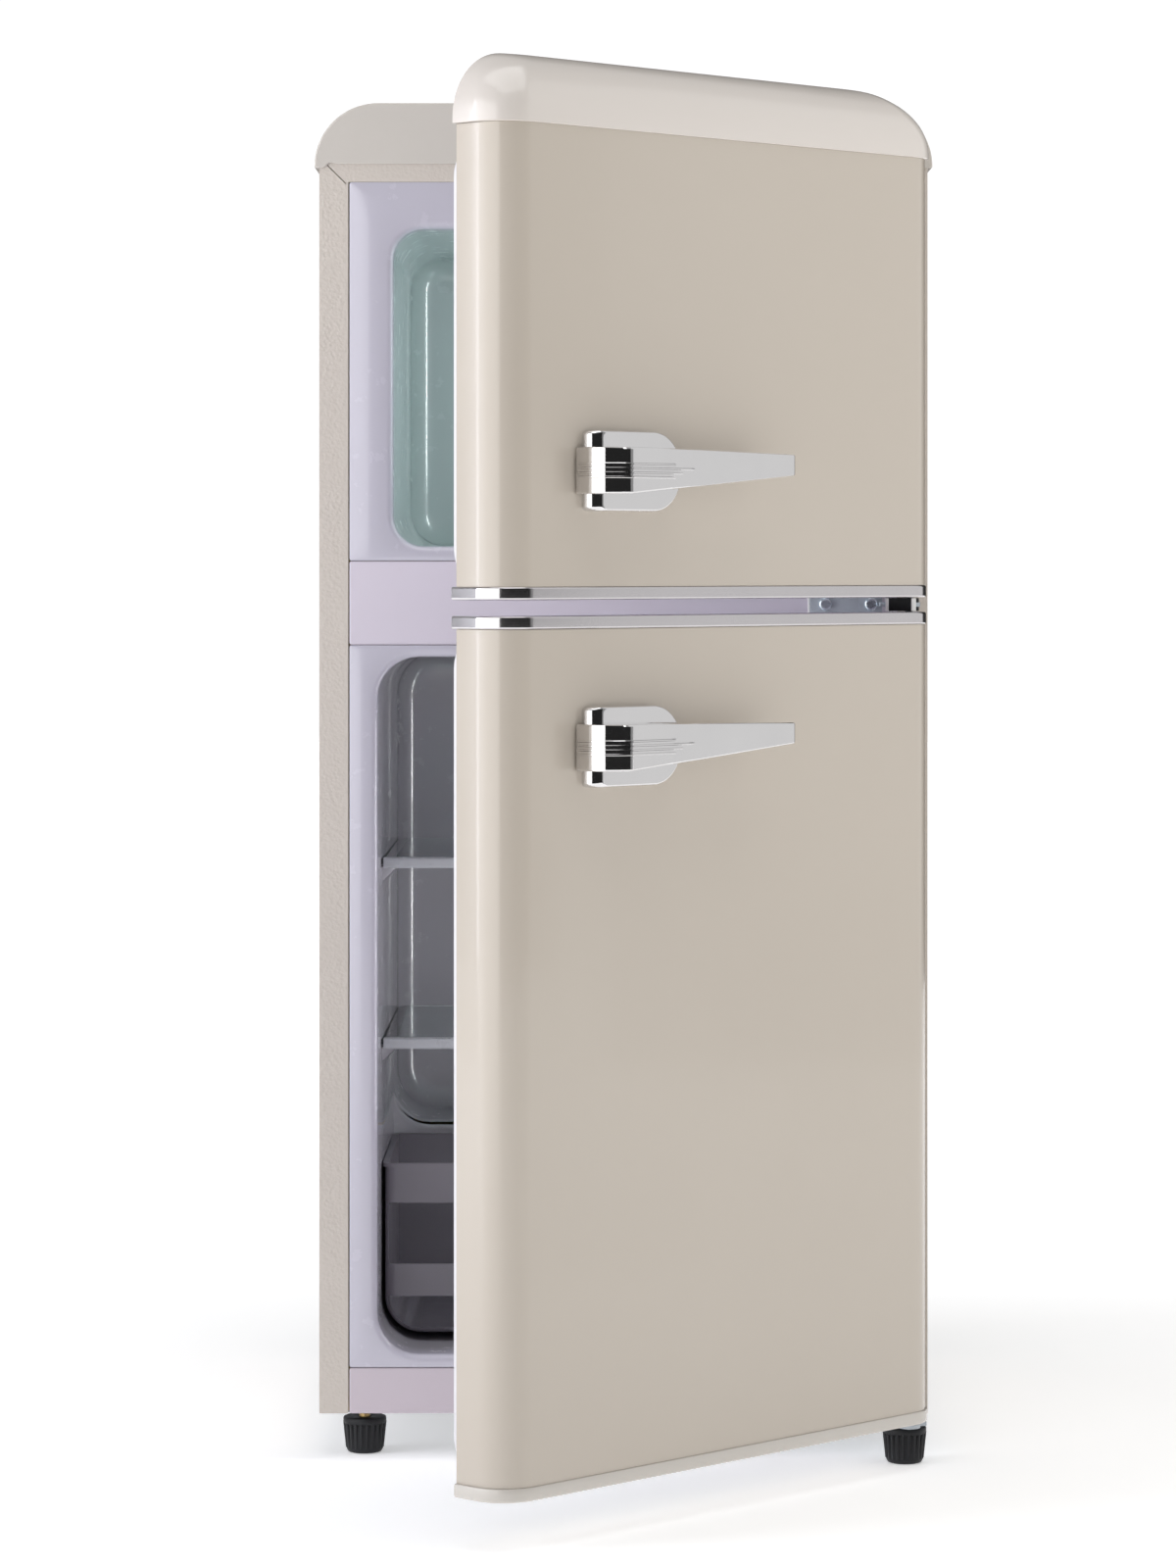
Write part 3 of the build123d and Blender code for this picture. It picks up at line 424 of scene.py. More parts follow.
def metalFinish(name, light, deep, rough, grain, strength, spread=0.12, metallic=1.0, extra=None):
    def varying(w, place):
        cloud = noiseAt(w, place, 22.0, 5.0, 0.6)
        fine = noiseAt(w, place, grain, 3.0)
        return {"Base Color": mixColour(w, cloud, rgba(deep), rgba(light)),
                "Roughness": rough + spread * cloud,
                "Normal": bumpFrom(w, fine, strength, 0.0003)}
    return newMaterial(name, {"Metallic": metallic, **(extra or {})}, varying)


chromePlate = metalFinish("chromePlate", (0.80, 0.79, 0.79), (0.74, 0.73, 0.735), 0.035, 260.0, 0.012, 0.05)
trimMetal = metalFinish("trimMetal", (0.68, 0.655, 0.665), (0.62, 0.60, 0.61), 0.12, 260.0, 0.01, 0.05)
screwZinc = metalFinish("screwZinc", (0.72, 0.78, 0.84), (0.55, 0.60, 0.66), 0.16, 500.0, 0.08, 0.12)
zincPlate = metalFinish("zincPlate", (0.56, 0.60, 0.64), (0.40, 0.44, 0.48), 0.34, 500.0, 0.15, 0.2, 0.6)
galvanised = metalFinish("galvanised", (0.50, 0.51, 0.53), (0.36, 0.37, 0.385), 0.34, 120.0, 0.10, 0.25)
brassStud = metalFinish("brassStud", (0.62, 0.45, 0.20), (0.45, 0.31, 0.13), 0.28, 500.0, 0.1)
copperTube = metalFinish("copperTube", (0.66, 0.34, 0.21), (0.48, 0.22, 0.13), 0.30, 300.0, 0.1)
aluminiumPlate = metalFinish("aluminiumPlate", (0.66, 0.67, 0.68), (0.56, 0.57, 0.58), 0.35, 300.0, 0.1)
pumpBlack = metalFinish("pumpBlack", (0.030, 0.030, 0.033), (0.018, 0.018, 0.020), 0.30, 420.0, 0.2, 0.2, 0.0)
backCream = plasticFinish("backCream", (0.62, 0.58, 0.52), (0.56, 0.52, 0.46), 0.42, 800.0, 0.12)


def clearFinish(name, tint, rough, ior):
    def varying(w, place):
        haze = noiseAt(w, place, 40.0, 4.0)
        return {"Base Color": mixColour(w, haze, rgba([c * 0.95 for c in tint]), rgba(tint)),
                "Roughness": rough + 0.05 * haze}
    return newMaterial(name, {"Transmission Weight": 1.0, "IOR": ior}, varying)


shelfGlass = clearFinish("shelfGlass", (0.80, 0.95, 0.92), 0.01, 1.5)
clearBin = clearFinish("clearBin", (0.80, 0.95, 0.96), 0.03, 1.48)
print("finishes made")


def makeDoorSkin(body):
    node = body + "_skin"
    z0, z1 = levels(node)
    skin = {"sheet": 1.0, "lip": 11.0}
    t = skin["sheet"]
    outer = doorOutline()
    inner = doorOutline(-t, back=-t)
    lipX = half - skin["lip"]
    outline = [(-lipX, doorBack), *outer, (lipX, doorBack)]
    outline += [(lipX, doorBack - t), *inner[::-1], (-lipX, doorBack - t)]
    verts, faces = prism(outline, "z", z0, z1)
    return addPiece(node + "Paint", verts, faces, doorEnamel, body, "cream_enamel", [node], (0.35, 2), 40)


def makeFreezerCap():
    z0, z1 = levels("freezer_door_cap")
    cap = {"width": 447.0, "front": 1.2, "sideRoll": 46.0, "frontRoll": 45.0, "rings": 22,
           "recess": 2.5, "recessDeep": 4.0}
    height, side = z1 - z0, cap["width"] / 2 - half
    rings = []

    def inset(roll, h):
        rise = max(0.0, h - (height - roll))
        return roll - math.sqrt(max(0.0, roll * roll - rise * rise))

    def ring(h, shrink=0.0):
        a, b = inset(cap["sideRoll"], h) + shrink, inset(cap["frontRoll"], h) + shrink
        base = door["round"] + cap["front"]
        depth = door["thick"] + cap["front"] - b
        outline = doorOutline(cap["front"] - b, side - a, 0.0, (base, min(base, depth * 0.98)))
        return [(x, y, z0 + h) for x, y in outline]
    # the underside is sunk, and its rim is slightly broken
    rings.append([(x, y, z0 + cap["recessDeep"]) for x, y, _ in ring(0, cap["recess"])])
    rings.append(ring(0, cap["recess"]))
    rings.append(ring(0, 0.6))
    rings.append([(x, y, z0 + 0.5) for x, y, _ in ring(0)])
    for k in range(1, cap["rings"] + 1):
        a = math.pi / 2 * k / cap["rings"]
        rings.append(ring(height * math.sin(a)))
    verts, faces = loft(rings)
    return addPiece("freezerDoorCap", verts, faces, domeCream, "freezer_door", "cream_moulding",
                    ["freezer_door_cap"], (1.0, 3), 50)


def makeFridgeBand():
    z0, z1 = levels("fridge_door_band")
    band = {"front": 1.2, "side": 2.0}
    # height and shrink of each ring, from the rounded underside to the seam with the skin
    steps = ((z0, 2.2), (z0 + 0.3, 0.9), (z0 + 1.2, 0.2), (z0 + 2.4, 0.0), (z1 - 1.0, 0.0), (z1 - 0.3, 0.25),
             (z1, 0.9), (z1, 3.0))
    rings = []
    for z, shrink in steps:
        rings.append([(x, y, z) for x, y in doorOutline(band["front"] - shrink, band["side"] - shrink)])
    verts, faces = loft(rings)
    return addPiece("fridgeDoorBand", verts, faces, mouldedCream, "fridge_door", "cream_moulding",
                    ["fridge_door_band"], None, 40)


for body in ("freezer_door", "fridge_door"):
    makeDoorSkin(body)
makeFreezerCap()
makeFridgeBand()
print("door skins and caps")


trim = {"proud": 0.9, "wrap": 3.5, "edge": 1.5, "inner": -0.6}


def makeTrim(body):
    node = body + "_trim"
    # flat polished strip with rolled edges that wraps the front, both corners and the ends
    z0, z1 = levels(node)
    e, p = trim["edge"], trim["proud"]
    profile = arcPoints(p - e, z0 + e, e, e, -90, 0, 5) + arcPoints(p - e, z1 - e, e, e, 0, 90, 5)
    profile += [(trim["inner"], z1), (trim["inner"], z0)]
    rings = [[(x, y, z) for x, y in doorOutline(grow, back=trim["wrap"])] for grow, z in profile]
    n, m = len(rings[0]), len(rings)
    verts = [v for ring in rings for v in ring]
    faces = []
    for i in range(m):
        j = (i + 1) % m
        faces += [(i * n + k, i * n + k + 1, j * n + k + 1, j * n + k) for k in range(n - 1)]
    faces.append(tuple(i * n for i in range(m)))
    faces.append(tuple(i * n + n - 1 for i in range(m - 1, -1, -1)))
    return addPiece(node + "Chrome", verts, faces, trimMetal, body, "chrome", [node], None, 40)


for body in ("freezer_door", "fridge_door"):
    makeTrim(body)
print("trims")


handle = {"rootX": -155.0, "tipX": 29.5, "out": 33.0, "thick": 6.0, "root": 31.0, "arc": 22.0, "tipRound": 4.0,
          "baseX": (-148.0, -62.0), "baseOut": 11.0, "tipHigh": 12.9, "tipLow": -1.2,
          "knee": 42.0, "bend": 10.0}
ribs = {"reach": (64.0, 70.0, 84.0, 64.0), "pitch": 2.9, "high": 1.5, "proud": 0.7}


def leverEdges(x):
    # upper and lower edge of the lever at a place along it
    r, x0, x1 = handle["root"] / 2, handle["rootX"], handle["tipX"]
    up = max(0.0, (x - x0 - 2 * handle["arc"]) / (x1 - x0 - 2 * handle["arc"]))
    down = max(0.0, (x - x0 - handle["arc"]) / (x1 - x0 - handle["arc"]))
    return r + (handle["tipHigh"] - r) * up, -r + (handle["tipLow"] + r) * down


def leverFace(grow=0.0):
    # outer face from the door round the arc to the tip, seen from above
    yOut, x0, r = doorFront - handle["out"] - grow, handle["rootX"] - grow, handle["arc"] + grow
    pts = [(x0, doorFront - 2), (x0, doorFront - 6)] + arcPoints(x0 + r, yOut + r, r, r, 180, 270, 22)
    tip = handle["tipRound"]
    run = handle["tipX"] - tip - x0 - r
    pts += [(x0 + r + run * k / 20, yOut) for k in range(1, 21)]
    return pts + arcPoints(handle["tipX"] - tip, yOut + tip, tip, tip, 270, 350, 6)[1:]


def makeLever(name, z, body, node):
    outer = leverFace()
    yBack = doorFront - handle["out"] + handle["thick"]
    yBase = doorFront - handle["baseOut"] - 0.05
    knee, bend = handle["baseX"][1] - handle["knee"], handle["baseX"][1] - handle["bend"]
    wallX = handle["baseX"][0] - 0.3
    inner = [(wallX, doorFront - 2), (wallX, doorFront - 6)]
    for x, y in outer[2:]:
        if y > doorFront - handle["out"] + 0.01 and x < 0:
            inner.append((max(wallX, x + 6 - (x - handle["rootX"]) * 0.3), max(y, yBase)))
        elif x < knee:
            inner.append((x, yBase))
        else:
            s = min(1.0, (x - knee) / (bend - knee))
            inner.append((min(x, handle["tipX"] - 0.4), yBase + (yBack - yBase) * s * s * (3 - 2 * s)))
    rings = []
    for (ox, oy), (ix, iy) in zip(outer, inner):
        top, low = leverEdges(ox)
        ring = []
        for t, zz in ((0.0, low + 1.4), (0.0, top - 1.4), (0.03, top - 0.5), (0.12, top - 0.05), (0.5, top),
                      (1.0, top - 0.4), (1.0, low + 0.4), (0.5, low), (0.12, low + 0.05), (0.03, low + 0.5)):
            ring.append((ox + (ix - ox) * t, oy + (iy - oy) * t, z + zz))
        rings.append(ring)
    meshes = [loft(rings)]
    crest, bed = leverFace(ribs["proud"]), leverFace(-0.8)
    for k, reach in enumerate(ribs["reach"]):
        zMid = z + (k - 1.5) * ribs["pitch"]
        end = handle["rootX"] + reach
        rows = [(a, b) for a, b in zip(crest, bed) if a[0] <= end] + [((end, crest[30][1]), (end, bed[30][1]))]
        rings = []
        for n, ((cx, cy), (bx, by)) in enumerate(rows):
            h = ribs["high"] / 2
            rise = 0.25 if n == len(rows) - 1 else 1.0
            cx, cy = bx + (cx - bx) * rise, by + (cy - by) * rise
            mx, my = bx + (cx - bx) * 0.7, by + (cy - by) * 0.7
            rings.append([(bx, by, zMid - h), (mx, my, zMid - h), (cx, cy, zMid - h * 0.45),
                          (cx, cy, zMid + h * 0.45), (mx, my, zMid + h), (bx, by, zMid + h)])
        meshes.append(loft(rings))
    verts, faces = joined(*meshes)
    return addPiece(name, verts, faces, chromePlate, body, "chrome", [node], None, 32)


def makeHandleBase(name, z, height, body, node):
    # D-shaped plate, its left end rolled over like a barrel
    x0, x1 = handle["baseX"]
    r = height / 2
    yTop = doorFront - handle["baseOut"]
    rings = []
    for y, rim, roll in ((doorFront, 0.0, 0.0), (yTop + 8.0, 0.0, 0.0), (yTop + 5.0, 0.0, 0.8),
                         (yTop + 2.6, 0.1, 2.4),
                         (yTop + 1.2, 0.3, 4.4), (yTop + 0.3, 0.8, 7.0), (yTop, 1.6, 9.4)):
        rr = r - rim
        outline = arcPoints(x1 - r, 0, rr, rr, -90, 90, 30)
        outline += arcPoints(x0 + 5 + roll, rr - 3, 5, 3, 90, 180, 5)
        outline += arcPoints(x0 + 5 + roll, -rr + 3, 5, 3, 180, 270, 5)
        rings.append([(x, y, z + zz) for x, zz in outline])
    verts, faces = loft(rings)
    return addPiece(name, verts, faces, chromePlate, body, "chrome", [node], None, 42)


for part in ("freezer", "fridge"):
    lowZ, highZ = levels(part + "_handle_base")
    middle = (lowZ + highZ) / 2
    makeLever(part + "HandleLever", middle, part + "_door", part + "_handle_lever")
    makeHandleBase(part + "HandleBase", middle, highZ - lowZ, part + "_door", part + "_handle_base")
print("handles")


def makeTopCap():
    z0, z1 = levels("top_cap")
    low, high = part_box("top_cap")
    x = high.x * 1000
    y0, y1 = (low.y - shellLow.y) * 1000, (high.y - shellLow.y) * 1000
    # the hem drops over the steel at both sides: how far in, how far up
    cap = {"roll": 46.0, "hem": ((0, 0), (5.5, 0), (8.0, 0.8), (10.5, 3.4), (12.5, 4.0), (15.0, 3.0))}
    r = cap["roll"]
    outline = arcPoints(x - r, z1 - r, r, r, 0, 90, 20) + arcPoints(-x + r, z1 - r, r, r, 90, 180, 20)
    outline += [(-x + run, z0 + rise) for run, rise in cap["hem"]]
    outline += [(x - run, z0 + rise) for run, rise in cap["hem"][::-1]]
    verts, faces = prism(outline, "y", y0, y1)
    return addPiece("topCap", verts, faces, mouldedCream, "cabinet", "cream_moulding", ["top_cap"],
                    (1.4, 3), 40)


makeTopCap()


liner = {"half": 198.3, "thick": 1.5, "front": 6.0, "edge": 0.8, "lip": 5.0, "draft": 1.5, "back": 18.0,
         "stepRound": 8.0}
# inner size of each space; the fridge's floor steps up over the pump at the rear
tubs = {"freezer": {"half": 166.7, "low": 658.4, "high": 888.1, "corner": 22.0, "depth": 335.0, "step": None},
        "fridge": {"half": 178.0, "low": 73.8, "high": 578.4, "corner": 30.0, "depth": 350.0,
                   "step": (255.0, 214.0)}}


def makeLiner(part, material, extra=()):
    # one moulded skin: outside of the tub, frame, rolled lip, drafted walls and a rounded back
    node, space = part + "_liner", tubs[part]
    hx, z0, z1, depth, step = (space[key] for key in ("half", "low", "high", "depth", "step"))
    f0, f1 = levels(node)
    t, e, lip, draft, r = liner["thick"], liner["edge"], liner["lip"], liner["draft"], liner["back"]
    stepY, stepZ = step or (depth, z0)
    bend = liner["stepRound"]

    def tub(grow, y, low=z0, more=0.0):
        base = low - (grow if low == z0 else 0)
        outline = roundRect(-hx - grow, hx + grow, base, z1 + grow, space["corner"] + grow + more)
        return [(x, y, z) for x, z in outline]

    def rim(inset, y):
        reach = liner["half"] - inset
        return [(x, y, z) for x, z in roundRect(-reach, reach, f0 + inset, f1 - inset, 1.5)]
    rings = [tub(t, depth + t, stepZ - t if step else z0)]
    if step:
        rings += [tub(t, stepY + t, stepZ - t), tub(t, stepY + t)]
    rings += [tub(t, liner["front"]), rim(0, liner["front"]), rim(0, e), rim(e * 0.3, e * 0.3), rim(e, 0)]
    corner = [math.pi / 2 * k / 6 for k in range(7)]
    rings += [tub(lip * (1 - math.sin(a)), lip * (1 - math.cos(a))) for a in corner]
    backs = [(-draft - r * (1 - math.cos(a)), -r * (1 - math.sin(a))) for a in corner]
    if step:
        rings.append(tub(-draft, stepY - r))
        rings += [tub(-draft, stepY + dy, z0 - grow) for grow, dy in backs[1:]]
        for k in range(6):
            a = math.pi / 2 * k / 5
            rings.append(tub(-draft, stepY + bend * (1 - math.cos(a)), stepZ - bend * (1 - math.sin(a))))
    for grow, dy in backs:
        rings.append(tub(grow, depth + dy, stepZ - (grow + draft) if step else z0, r * 0.3))
    verts, faces = joined(loft(rings), *extra)
    return addPiece(part + "Liner", verts, faces, material, "cabinet", "liner_white", [node], None, 32)


ledge = {"wide": 11.0, "high": 15.0, "long": 270.0, "setBack": 8.0}


def shelfLedges():
    # moulded supports under both shelves, swept to a rounded front end
    out = []
    y0 = (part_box("glass_shelves")[0].y - shellLow.y) * 1000 + ledge["setBack"]
    wall = tubs["fridge"]["half"]
    lowTrim, highTrim = levels("shelf_trims")
    for z in (highTrim - 5.6, lowTrim + 2.0):
        for side in (-1, 1):
            rings = []
            for run, keep in ((0.0, 0.15), (1.5, 0.6), (5.0, 0.9), (11.0, 1.0), (ledge["long"], 1.0)):
                nose = wall - ledge["wide"] * keep
                section = ((wall + 0.5, z), (nose + 1.5, z), (nose + 0.3, z - 0.4), (nose, z - 1.5),
                           (nose, z - 3.0 * keep), (nose + 2.5, z - 6.5 * keep),
                           (wall + 0.5, z - ledge["high"] * keep))
                rings.append([(side * x, y0 + run, zz) for x, zz in section])
            out.append(loft(rings))
    return out


makeLiner("freezer", freezerLiningPaintedTealLight)
makeLiner("fridge", fridgeLiningPaintedShade, shelfLedges())


def makePanel(name, node, material):
    # pale front panel with rounded edges
    z0, z1 = levels(node)
    rings = []
    for y, inset in ((6.0, 0.0), (0.9, 0.0), (0.35, 0.2), (0.08, 0.55), (0.0, 1.0)):
        outline = roundRect(-liner["half"] + inset, liner["half"] - inset, z0 + inset, z1 - inset, 1.6)
        rings.append([(x, y, z) for x, z in outline])
    verts, faces = loft(rings)
    return addPiece(name, verts, faces, material, "cabinet", "liner_white", [node], None, 40)


makePanel("beamPanel", "mid_beam_panel", linerPale)
makePanel("bottomPanel", "bottom_front_panel", panelPale)
print("liners and panels")


gasket = {"free": 6.0, "hinge": 13.0, "radius": 9.0}


def makeGasket(name, node, body):
    # bellows profile carried round the door's back
    z0, z1 = levels(node)
    x0, x1 = -half + gasket["free"], half - gasket["hinge"]
    profile = ((1.0, -9.9), (14.0, -9.9), (14.3, -8.7), (12.4, -7.9), (12.2, -6.9), (14.1, -6.0), (14.8, -5.1),
               (15.0, -4.0), (15.0, -1.6), (14.0, -0.6), (1.2, -0.6), (0.1, -1.6), (0.0, -4.2), (0.6, -5.2),
               (2.8, -6.0), (3.0, -7.0), (1.2, -7.8), (0.4, -8.7))
    rings = []
    for inset, y in profile:
        corner = gasket["radius"] + 14.0 - inset * 0.9
        outline = roundRect(x0 + inset, x1 - inset, z0 + inset, z1 - inset, corner)
        rings.append([(x, y, z) for x, z in outline])
    verts, faces = loft(rings + [rings[0]], False, False)
    return addPiece(name, verts, faces, gasketPale, body, "gasket_white", [node], None, 30)


makeGasket("freezerDoorGasket", "freezer_door_gasket", "freezer_door")
makeGasket("fridgeDoorGasket", "fridge_door_gasket", "fridge_door")

swage = {"Count": 7, "Pitch": 52.0, "Length": 606.0, "Width": 14.0, "Rise": 1.2}
swageMiddle = 573.5


def swageTree(w, given):
    reach = given["Length"] * 0.5
    low = w.add("ShaderNodeCombineXYZ", {}, {2: 0.0 - reach})
    high = w.add("ShaderNodeCombineXYZ", {}, {2: reach})
    line = w.add("GeometryNodeCurvePrimitiveLine", {}, {"Start": low, "End": high})
    ring = w.add("GeometryNodeCurvePrimitiveCircle", {}, {"Resolution": 20, "Radius": given["Width"] * 0.5})
    tube = w.add("GeometryNodeCurveToMesh", {}, {"Curve": line, "Profile Curve": ring, "Fill Caps": True})
    ball = w.add("GeometryNodeMeshUVSphere", {},
                 {"Segments": 20, "Rings": 12, "Radius": given["Width"] * 0.497})
    ends = [w.add("GeometryNodeTransform", {}, {"Geometry": ball, "Translation": end}) for end in (low, high)]
    bar = w.add("GeometryNodeJoinGeometry")
    for part in (tube, *ends):
        w.tree.links.new(part.socket, bar.socket.node.inputs[0])
    flat = w.add("ShaderNodeCombineXYZ", {}, {0: 1.0, 1: given["Rise"] * 2.0 / given["Width"], 2: 1.0})
    bar = w.add("GeometryNodeTransform", {}, {"Geometry": bar, "Scale": flat})
    pitch = w.add("ShaderNodeCombineXYZ", {}, {0: given["Pitch"]})
    first = w.add("ShaderNodeCombineXYZ", {}, {0: given["Pitch"] * (given["Count"] - 1.0) * -0.5})
    row = w.add("GeometryNodeMeshLine", {}, {"Count": given["Count"], "Start Location": first, "Offset": pitch})
    return w.add("GeometryNodeInstanceOnPoints", {}, {"Points": row, "Instance": bar})


def makeBack():
    z0, z1 = levels("back_panel")
    low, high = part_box("back_panel")
    x0, x1, y1 = low.x * 1000, high.x * 1000, (high.y - shellLow.y) * 1000 - swage["Rise"]
    sheet = boxMesh(x0, x1, y1 - 1.0, y1, z0, z1)
    # the balls at the bars' ends are a trace smaller, so that their points don't merge with the tubes'
    bars, faces = grown("backSwages", swage, swageTree, backCream)
    bars = [(x, y + y1, z + swageMiddle) for x, y, z in bars]
    verts, faces = joined(sheet, (bars, faces))
    return addPiece("backPanel", verts, faces, backCream, "cabinet", "back_steel", ["back_panel"], None, 30)


makeBack()
print("gaskets and back")


foot = {"high": 26.0, "low": 12.9, "rim": 15.7, "stud": 4.0}
flutes = {"Count": 22, "Radius": 1.35, "Reach": 13.5, "Height": 19.0, "Lean": 0.105}
thread = {"Turns": 16.0, "Radius": 3.9, "Height": 20.0, "Crest": 0.42}


def fluteTree(w, given):
    rib = w.add("GeometryNodeMeshCylinder", {},
                {"Vertices": 10, "Radius": given["Radius"], "Depth": given["Height"]})
    lean = w.add("ShaderNodeCombineXYZ", {}, {1: given["Lean"]})
    spot = w.add("ShaderNodeCombineXYZ", {}, {0: given["Reach"], 2: 13.0})
    rib = w.add("GeometryNodeTransform", {}, {"Geometry": rib, "Translation": spot, "Rotation": lean})
    ring = w.add("GeometryNodeMeshLine", {}, {"Count": given["Count"], "Offset": (0.0, 0.0, 0.0)})
    turn = w.add("GeometryNodeInputIndex") * (math.tau / given["Count"])
    turn = w.add("ShaderNodeCombineXYZ", {}, {2: turn})
    return w.add("GeometryNodeInstanceOnPoints", {}, {"Points": ring, "Instance": rib, "Rotation": turn})


def threadTree(w, given):
    spiral = w.add("GeometryNodeCurveSpiral", {}, {
        "Resolution": 20, "Rotations": given["Turns"], "Start Radius": given["Radius"],
        "End Radius": given["Radius"], "Height": given["Height"]})
    crest = w.add("GeometryNodeCurvePrimitiveCircle", {}, {"Resolution": 4, "Radius": given["Crest"]})
    return w.add("GeometryNodeCurveToMesh", {}, {"Curve": spiral, "Profile Curve": crest, "Fill Caps": True})


def lathe(profile, steps=40):
    rings = [[(r * math.cos(math.tau * k / steps), r * math.sin(math.tau * k / steps), z) for k in range(steps)]
             for r, z in profile]
    return loft(rings)


def placed(mesh, x, y, z=0.0):
    return [(a + x, b + y, c + z) for a, b, c in mesh[0]], mesh[1]


def makeFoot(side):
    f = foot
    # the middle of the stud, in the cabinet's frame
    low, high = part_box(side + "_foot_stud")
    x, y = (low.x + high.x) * 500, ((low.y + high.y) / 2 - shellLow.y) * 1000
    cup = lathe([(f["low"] - 2.6, 0.0), (f["low"] - 0.9, 0.5), (f["low"], 1.8), (f["low"] + 0.4, 3.0),
                 (f["rim"] - 1.6, 20.5), (f["rim"] - 0.2, 21.6), (f["rim"], 22.4), (f["rim"], 24.8),
                 (f["rim"] - 0.5, 25.7), (f["rim"] - 1.4, f["high"]), (5.6, f["high"]), (4.4, 25.2),
                 (4.05, 24.4), (4.05, 12.0)])
    ribsMesh = grown(side + "Flutes", flutes, fluteTree, blackPlastic)
    verts, faces = joined(placed(cup, x, y), placed(ribsMesh, x, y))
    addPiece(side + "FootCup", verts, faces, blackPlastic, side + "_foot_cup", "black_plastic",
             [side + "_foot_cup"], None, 35)
    top = levels(side + "_foot_stud")[1]
    bar = lathe([(f["stud"] - 0.5, 12.2), (f["stud"] - 0.35, top - 1.0), (f["stud"] - 1.1, top)])
    flange = lathe([(6.6, 14.0), (7.0, 14.4), (7.0, 16.6), (6.6, 17.0)])
    given = dict(thread, Height=top - 18.5)
    spiral = grown(side + "Thread", given, threadTree, brassStud)
    verts, faces = joined(placed(bar, x, y), placed(flange, x, y), placed(spiral, x, y, 17.2))
    addPiece(side + "FootStud", verts, faces, brassStud, side + "_foot_stud", "brass",
             [side + "_foot_stud"], None, 40)


for side in ("left", "right"):
    makeFoot(side)
print("feet")

# the remaining parts keep their worked-out shapes, with softened edges
softened = {
    "cabinet_shell": (stippledCream, 0.45, 2), "base_pan": (galvanised, 0.3, 1),
    "mid_beam_stiffener": (galvanised, 0.3, 1), "evaporators": (aluminiumPlate, 0.2, 1),
    "machine_rail": (galvanised, 0.4, 2), "compressor_grommets": (blackRubber, 0.5, 2),
    "relay_cover": (blackPlastic, 0.8, 2), "cord_gland": (blackRubber, 0.4, 2),
    "drip_tray": (trayWhite, 0.4, 2),
    "glass_shelves": (shelfGlass, 0.5, 2), "shelf_trims": (trimGrey, 0.25, 1),
    "crisper_basket": (basketPale, 0.6, 2), "thermostat_housing": (linerPale, 1.0, 2),
    "thermostat_knob": (linerPale, 0.5, 2), "lamp_lens": (lampMilk, 0.6, 2), "top_hinge": (zincPlate, 0.35, 2),
    "mid_hinge": (zincPlate, 0.35, 2), "bottom_hinge": (zincPlate, 0.35, 2), "hinge_pins": (zincPlate, 0.25, 2),
    "hinge_spacers": (blackPlastic, 0.3, 2), "cabinet_fasteners": (screwZinc, 0.15, 2),
    "rear_feet": (blackPlastic, 0.8, 2), "freezer_door_end": (linerPale, 0.6, 2),
    "fridge_door_end": (linerPale, 0.6, 2), "freezer_door_liner": (linerPale, 0.8, 2),
    "fridge_door_liner": (linerPale, 0.8, 2), "freezer_door_bin": (clearBin, 0.5, 2),
    "fridge_door_bins": (clearBin, 0.5, 2), "freezer_door_bushes": (bearingWhite, 0.3, 2),
    "fridge_door_bushes": (bearingWhite, 0.3, 2), "freezer_handle_screws": (zincPlate, 0.2, 2),
    "fridge_handle_screws": (zincPlate, 0.2, 2)}
thermostat = next(b for b in frame["bodies"] if "knob" in b or "thermostat" in b)
starts = {"freezer_door": "freezer_door", "freezer_handle": "freezer_door", "fridge_door": "fridge_door",
          "fridge_handle": "fridge_door", "thermostat_knob": thermostat}
for item, (material, width, segments) in softened.items():
    words = item.split("_")
    label = words[0] + "".join(word.capitalize() for word in words[1:]) + "Soft"
    body = next((starts[start] for start in starts if item.startswith(start)), "cabinet")
    cadCopy(label, item, material, body, (width, segments))

# pale plastic collars beside the hinge's black sleeve, and the beam's edging strip
collar = {"front": -17.35, "back": -10.0, "left": (-17.6, -15.7), "right": (0.6, 3.8), "gap": 0.6}
lowEdge = levels("fridge_door_trim")[1] + collar["gap"]
highEdge = levels("freezer_door_trim")[0] - collar["gap"]
collars = [boxMesh(pinX + a, pinX + b, pinY + collar["front"], pinY + collar["back"], lowEdge, highEdge)
           for a, b in (collar["left"], collar["right"])]
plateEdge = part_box("mid_hinge")[0].x * 1000
lowPlate, highPlate = levels("mid_hinge")
collars.append(boxMesh(plateEdge - 1.6, plateEdge - 0.2, -0.8, 0.2, lowPlate + 0.4, highPlate - 0.4))
verts, faces = joined(*collars)
addPiece("hingeCollars", verts, faces, bearingWhite, "cabinet", "black_plastic", (), (0.3, 2), 40)

# tubes, pump and foam are smooth or hidden already and only take their finish
for node, material in {"cabinet_foam": foamYellow, "compressor": pumpBlack, "filter_drier": copperTube,
                       "refrigerant_tubes": copperTube, "freezer_door_foam": foamYellow,
                       "fridge_door_foam": foamYellow}.items():
    data = frame["nodes"][node].data
    data.materials.clear()
    data.materials.append(material)
print("softened and painted parts")


stage = {"floor": 14.0, "glow": 0.37, "farGlow": 0.80, "world": 0.36}


